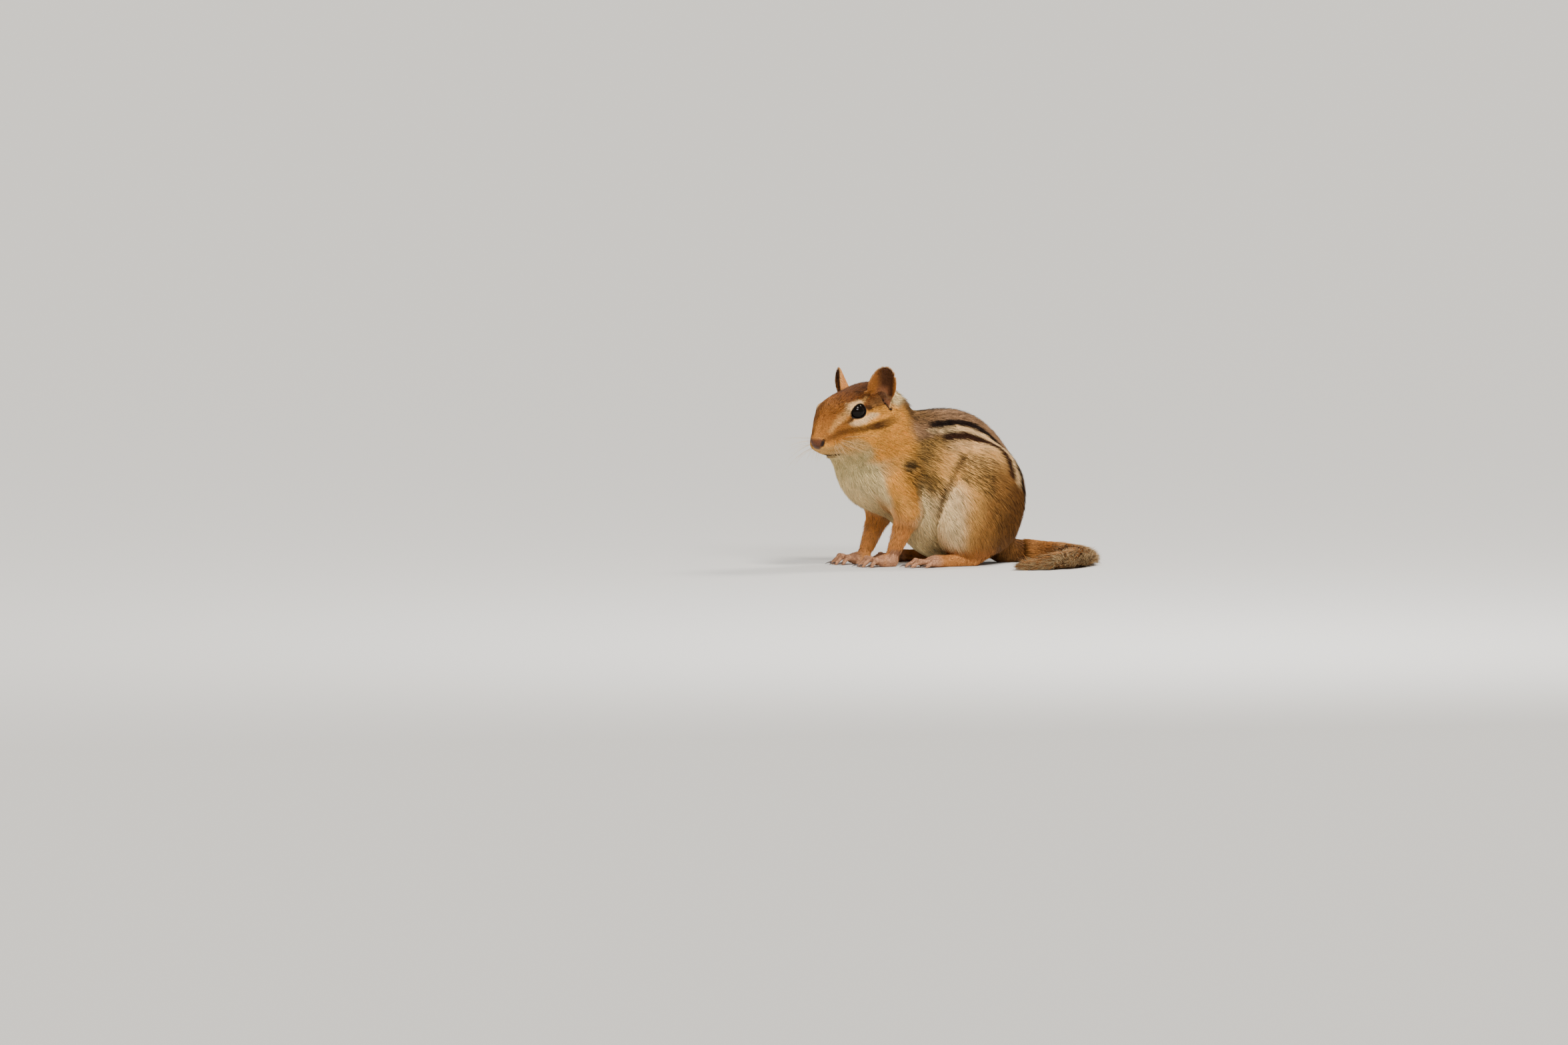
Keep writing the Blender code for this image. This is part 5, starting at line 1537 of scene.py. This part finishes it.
# Whiskers: rows on the muzzle as (forward, up), how many in each, and their lengths from the back.
WHISKER_ROWS = ((-4.6, 4), (-5.9, 5), (-7.1, 4))
WHISKER_FORWARD = (24.2, 28.6)
WHISKER_LENGTHS = (20, 12)
WHISKER_RADIUS = 0.05
WHISKER_STEPS = 12
BRISTLES = 26
BRISTLE_STEPS = 6
BRISTLE_LENGTH = (3, 6.5)


def surface_point(q, side):
    """The head's surface beside a point of its side plane, found by stepping inward."""
    out = np.linspace(12, 0, 240)
    line = np.stack((np.full(240, q[0]), SIDES[side] * out, np.full(240, q[1])), 1)
    d = skull_field(line) + head_depth(line)
    return line[np.argmax(d < 0)]


def whisker(place, side, heading, length, droop, steps, radius, sides):
    """A drooping hair from a place in the head's side plane. Its heading is in the head's frame."""
    t = np.linspace(0, 1, steps)[:, None]
    forward, out, up = heading
    ahead = unit(np.array((forward, SIDES[side] * out, up)) @ HEAD[1])
    start = out_of(HEAD, surface_point(place, side))
    path = start + ahead * length * t + (-UP * droop - HEAD[1][0] * 0.25) * length * t * t
    return tube(path, radius * (1 - 0.85 * t[:, 0]), sides)


def make_whiskers():
    """Long whiskers in rows on each side of the muzzle, and short bristles on lips and chin."""
    rng = np.random.default_rng(COAT_SEED + 1)
    parts = []
    for side in SIDES:
        for row, (up, count) in enumerate(WHISKER_ROWS):
            for k, f in enumerate(np.linspace(*WHISKER_FORWARD, count)):
                place = (f + rng.uniform(-0.3, 0.3), up + rng.uniform(-0.2, 0.2))
                share = k / (count - 1)
                length = between(*WHISKER_LENGTHS, share) * rng.uniform(0.85, 1.1)
                forward = 0.05 + 0.85 * share + rng.uniform(-0.1, 0.1)
                heading = (forward, 0.9, 0.12 - 0.2 * row + rng.uniform(-0.1, 0.1))
                droop = rng.uniform(0.1, 0.3)
                parts.append(whisker(place, side, heading, length, droop, WHISKER_STEPS, WHISKER_RADIUS, 5))
        for _ in range(BRISTLES):
            place = (rng.uniform(25, 30.5), rng.uniform(-10.5, -6))
            heading = (rng.uniform(0, 0.7), 0.7, rng.uniform(-0.9, -0.3))
            length = rng.uniform(*BRISTLE_LENGTH)
            radius = WHISKER_RADIUS * 0.6
            parts.append(whisker(place, side, heading, length, 0.3, BRISTLE_STEPS, radius, 4))
    return joined("whiskers", parts, tint("cream") * 0.8)


def make_claws(side, front):
    """The claws of one foot, each a curved cone with its root inside the toe."""
    parts = []
    t = np.linspace(0, 1, CLAW_RINGS)[:, None]
    for joints in FORE_FINGERS if front else HIND_TOES:
        tip = np.array(joints[2])
        ahead = unit((tip - joints[1]) * (1, 1, 0))
        start = tip + ahead * 0.15 + UP * 0.15
        path = start + ahead * (CLAW_LENGTH * t) + UP * (CLAW_ARCH * t - CLAW_DROP * t * t)
        path = out_of(foot_frame(side, front), path * (1, SIDES[side], 1))
        path[:, 2] = np.maximum(path[:, 2], FLOOR_CLEARANCE)
        parts.append(tube(path, CLAW_RADIUS * (1 - 0.88 * t[:, 0] ** 0.8), CLAW_SIDES))
    return joined(f"claws_{'fore' if front else 'hind'}_{side}", parts, tint("claw"))


def make_eye(side):
    """A fine ball in the CAD eye's place."""
    bm = bmesh.new()
    bmesh.ops.create_uvsphere(bm, u_segments=64, v_segments=40, radius=1)
    bmesh.ops.triangulate(bm, faces=bm.faces[:])
    points = np.array([v.co[:] for v in bm.verts])
    faces = np.array([[v.index for v in f.verts] for f in bm.faces])
    bm.free()
    axis = unit(on_side(EYE_AXIS, side)) @ HEAD[1]
    turn = np.array(Vector((0, 0, 1)).rotation_difference(Vector(axis)).to_matrix())
    places = eye_place(side) + EYE_RADIUS * points @ turn.T
    return mesh_object(f"eyeball_{side}", places, faces)


class Material:
    """A new material with its shader, and a short way to add nodes."""

    def __init__(self, name):
        self.made = bpy.data.materials.new(name)
        self.made.use_nodes = True

    def feed(self, node, values):
        """Sets each input of a node, or links it where the value is another node's output."""
        for key, value in values.items():
            if isinstance(value, bpy.types.NodeSocket):
                self.made.node_tree.links.new(value, node.inputs[key])
            else:
                node.inputs[key].default_value = value

    def add(self, kind, output, values, **settings):
        """A node's output."""
        node = self.made.node_tree.nodes.new(f"ShaderNode{kind}")
        for key, value in settings.items():
            setattr(node, key, value)
        self.feed(node, values)
        return node.outputs[output]

    def shaded(self, values):
        self.feed(self.made.node_tree.nodes["Principled BSDF"], values)
        return self.made

    def held(self, scale, low, high):
        """The colour held at each point, made lighter and darker by fine noise, the noise and its place."""
        place = self.add("TexCoord", "Object", {})
        grain = self.add("TexNoise", "Fac", {"Scale": scale, "Detail": 3, "Vector": place})
        steps = {"From Min": 0.3, "From Max": 0.7, "To Min": low, "To Max": high, "Value": grain}
        spread = self.add("MapRange", "Result", steps)
        colour = self.add("Attribute", "Color", {}, attribute_name="shade")
        scaled = self.add("VectorMath", "Vector", {0: colour, "Scale": spread}, operation="SCALE")
        return scaled, grain, place

    def ramp(self, grain, *colours):
        """A colour between two that follows a noise."""
        output = self.add("ValToRGB", "Color", {"Fac": grain})
        for element, colour in zip(output.node.color_ramp.elements, colours):
            element.color = (*colour, 1)
        return output


def coat_material():
    material = Material("coat")
    colour, grain, _ = material.held(2200, 0.82, 1.18)
    rough = material.add("MapRange", "Result", {"To Min": 0.42, "To Max": 0.68, "Value": grain})
    return material.shaded({"Base Color": colour, "Roughness": rough, "Specular IOR Level": 0.12})


def skin_material():
    material = Material("skin")
    colour, grain, place = material.held(1600, 0.75, 1.2)
    bare = material.add("Attribute", "Fac", {}, attribute_name="bare")
    rough = material.add("MapRange", "Result", {"To Min": 0.8, "To Max": 0.5, "Value": bare})
    cells = material.add("TexVoronoi", "Distance", {"Scale": 2600, "Vector": place})
    both = material.add("Math", "Value", {0: cells, 1: grain}, operation="ADD")
    bump = material.add("Bump", "Normal", {"Strength": 0.35, "Distance": 0.0002, "Height": both})
    looks = {"Base Color": colour, "Roughness": rough, "Normal": bump, "Specular IOR Level": 0.18}
    return material.shaded(looks)


def eye_material():
    material = Material("eye")
    place = material.add("TexCoord", "Object", {})
    grain = material.add("TexNoise", "Fac", {"Scale": 900, "Vector": place})
    colour = material.ramp(grain, (0.0020, 0.0013, 0.0010), (0.0060, 0.0035, 0.0022))
    return material.shaded({"Base Color": colour, "Roughness": 0.05, "Specular IOR Level": 0.1})


def claw_material():
    material = Material("claw")
    colour, grain, _ = material.held(1200, 0.6, 1.5)
    bump = material.add("Bump", "Normal", {"Strength": 0.2, "Distance": 0.0001, "Height": grain})
    return material.shaded({"Base Color": colour, "Normal": bump, "Roughness": 0.35})


def floor_material():
    material = Material("studio_floor")
    grain = material.add("TexNoise", "Fac", {"Scale": 3})
    colour = material.ramp(grain, (0.74, 0.73, 0.71), (0.78, 0.77, 0.75))
    return material.shaded({"Base Color": colour, "Roughness": 0.75})


def dress(obj, made, slot):
    """Gives a piece its material and sets it on the body. The slot is not used."""
    obj.data.materials.append(made)
    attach(obj, "root")


# Camera: where it looks from, how far off, and the photograph's width at the animal.
CAMERA_AZIMUTH = 70
CAMERA_ELEVATION = 3.5
CAMERA_DISTANCE = 5000
VIEW_WIDTH = 635
AIM_LEFT = 60.5
AIM_UP = 16.7
SENSOR = 36


def direction(azimuth, elevation):
    """The way from the animal towards a place in the studio, for angles in degrees."""
    level, _ = level_axes(math.radians(azimuth))
    rise = math.radians(elevation)
    return level * math.cos(rise) + UP * math.sin(rise)


def make_camera():
    """The photograph's viewpoint: the animal's left side, from a little above."""
    to_camera = direction(CAMERA_AZIMUTH, CAMERA_ELEVATION)
    _, right = level_axes(math.radians(CAMERA_AZIMUTH))
    up = np.cross(to_camera, right)
    data = bpy.data.cameras.new("camera")
    data.sensor_width = SENSOR
    data.lens = SENSOR * CAMERA_DISTANCE / VIEW_WIDTH
    data.clip_start = 0.05
    data.clip_end = 200
    camera = placed("camera", data)
    place = up * AIM_UP - right * AIM_LEFT - SHIFT + to_camera * CAMERA_DISTANCE
    turn = Matrix((right, up, to_camera)).transposed().to_4x4()
    camera.matrix_world = Matrix.Translation(Vector(place) * MM) @ turn
    bpy.context.scene.camera = camera


# Studio: suns as (azimuth, elevation, strength, angle), and one soft box near the animal.
SUNS = {
    "key": (100, 56, 2.7, 16),
    "rim": (200, 45, 1.8, 16),
}
SOFT_BOX = ((82, 32), 700, (270, 130), 3.4)
LIGHT_COLOUR = (1, 0.95, 0.87)
WORLD_COLOUR = (1, 0.985, 0.96)
WORLD_STRENGTH = 0.42
FLOOR_RADIUS = 40


def make_light(name, kind, towards, energy):
    """A light that shines from a direction on the animal."""
    data = bpy.data.lights.new(name, kind)
    data.energy = energy
    light = placed(name, data)
    light.rotation_euler = Vector(towards).to_track_quat("Z", "Y").to_euler()
    return light


def make_studio():
    """A wide pale floor, two broad suns, one soft box and an even sky."""
    bm = bmesh.new()
    bmesh.ops.create_circle(bm, cap_ends=True, segments=96, radius=FLOOR_RADIUS)
    data = bpy.data.meshes.new("floor")
    bm.to_mesh(data)
    bm.free()
    data.materials.append(floor_material())
    placed("floor", data)
    for name, (azimuth, elevation, strength, angle) in SUNS.items():
        sun = make_light(name, "SUN", direction(azimuth, elevation), strength)
        sun.data.color = LIGHT_COLOUR
        sun.data.angle = math.radians(angle)
    place, away, size, power = SOFT_BOX
    box = make_light("soft_box", "AREA", direction(*place), power)
    box.data.shape = "RECTANGLE"
    box.data.size, box.data.size_y = size[0] * MM, size[1] * MM
    box.location = Vector(direction(*place)) * away * MM + Vector((0, 0, 0.04))
    world = bpy.data.worlds.new("studio")
    world.use_nodes = True
    sky = world.node_tree.nodes["Background"]
    sky.inputs["Color"].default_value = (*WORLD_COLOUR, 1)
    sky.inputs["Strength"].default_value = WORLD_STRENGTH
    bpy.context.scene.world = world


PAIRED_FLESH = ("ear", "hindleg", "foreleg", "hindfoot", "forefoot")
FLESH = ["torso", "neck", "head", "nose"]
FLESH += [f"{kind}_{side}" for kind in PAIRED_FLESH for side in SIDES]
FLESH += ["tail_base", "tail_middle", "tail_tip"]
SLOTS = {
    "head": "head_fur",
    "ear": "ear",
    "feet": "foot",
    "tail": "tail_fur",
    "haunch": "haunch_fur",
    "chest": "foreleg_fur",
}


def main():
    make_camera()
    make_studio()
    skin, *surface = make_skin()
    dress(skin, skin_material(), "back_fur")
    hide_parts(*FLESH)
    coat = coat_material()
    for piece in make_coat(*surface):
        dress(piece, coat, SLOTS.get(piece.name.split("_")[1], "back_fur"))
    dress(make_whiskers(), coat, "head_fur")
    eye, claw = eye_material(), claw_material()
    for side in SIDES:
        ball = make_eye(side)
        dress(ball, eye, "eye")
        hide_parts(f"eye_{side}")
    for side, front in FEET:
        claws = make_claws(side, front)
        dress(claws, claw, "claw")
        kind, count = ("fore", len(FORE_FINGERS)) if front else ("hind", len(HIND_TOES))
        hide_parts(*[f"claw_{kind}_{side}_{k + 1}" for k in range(count)])


main()
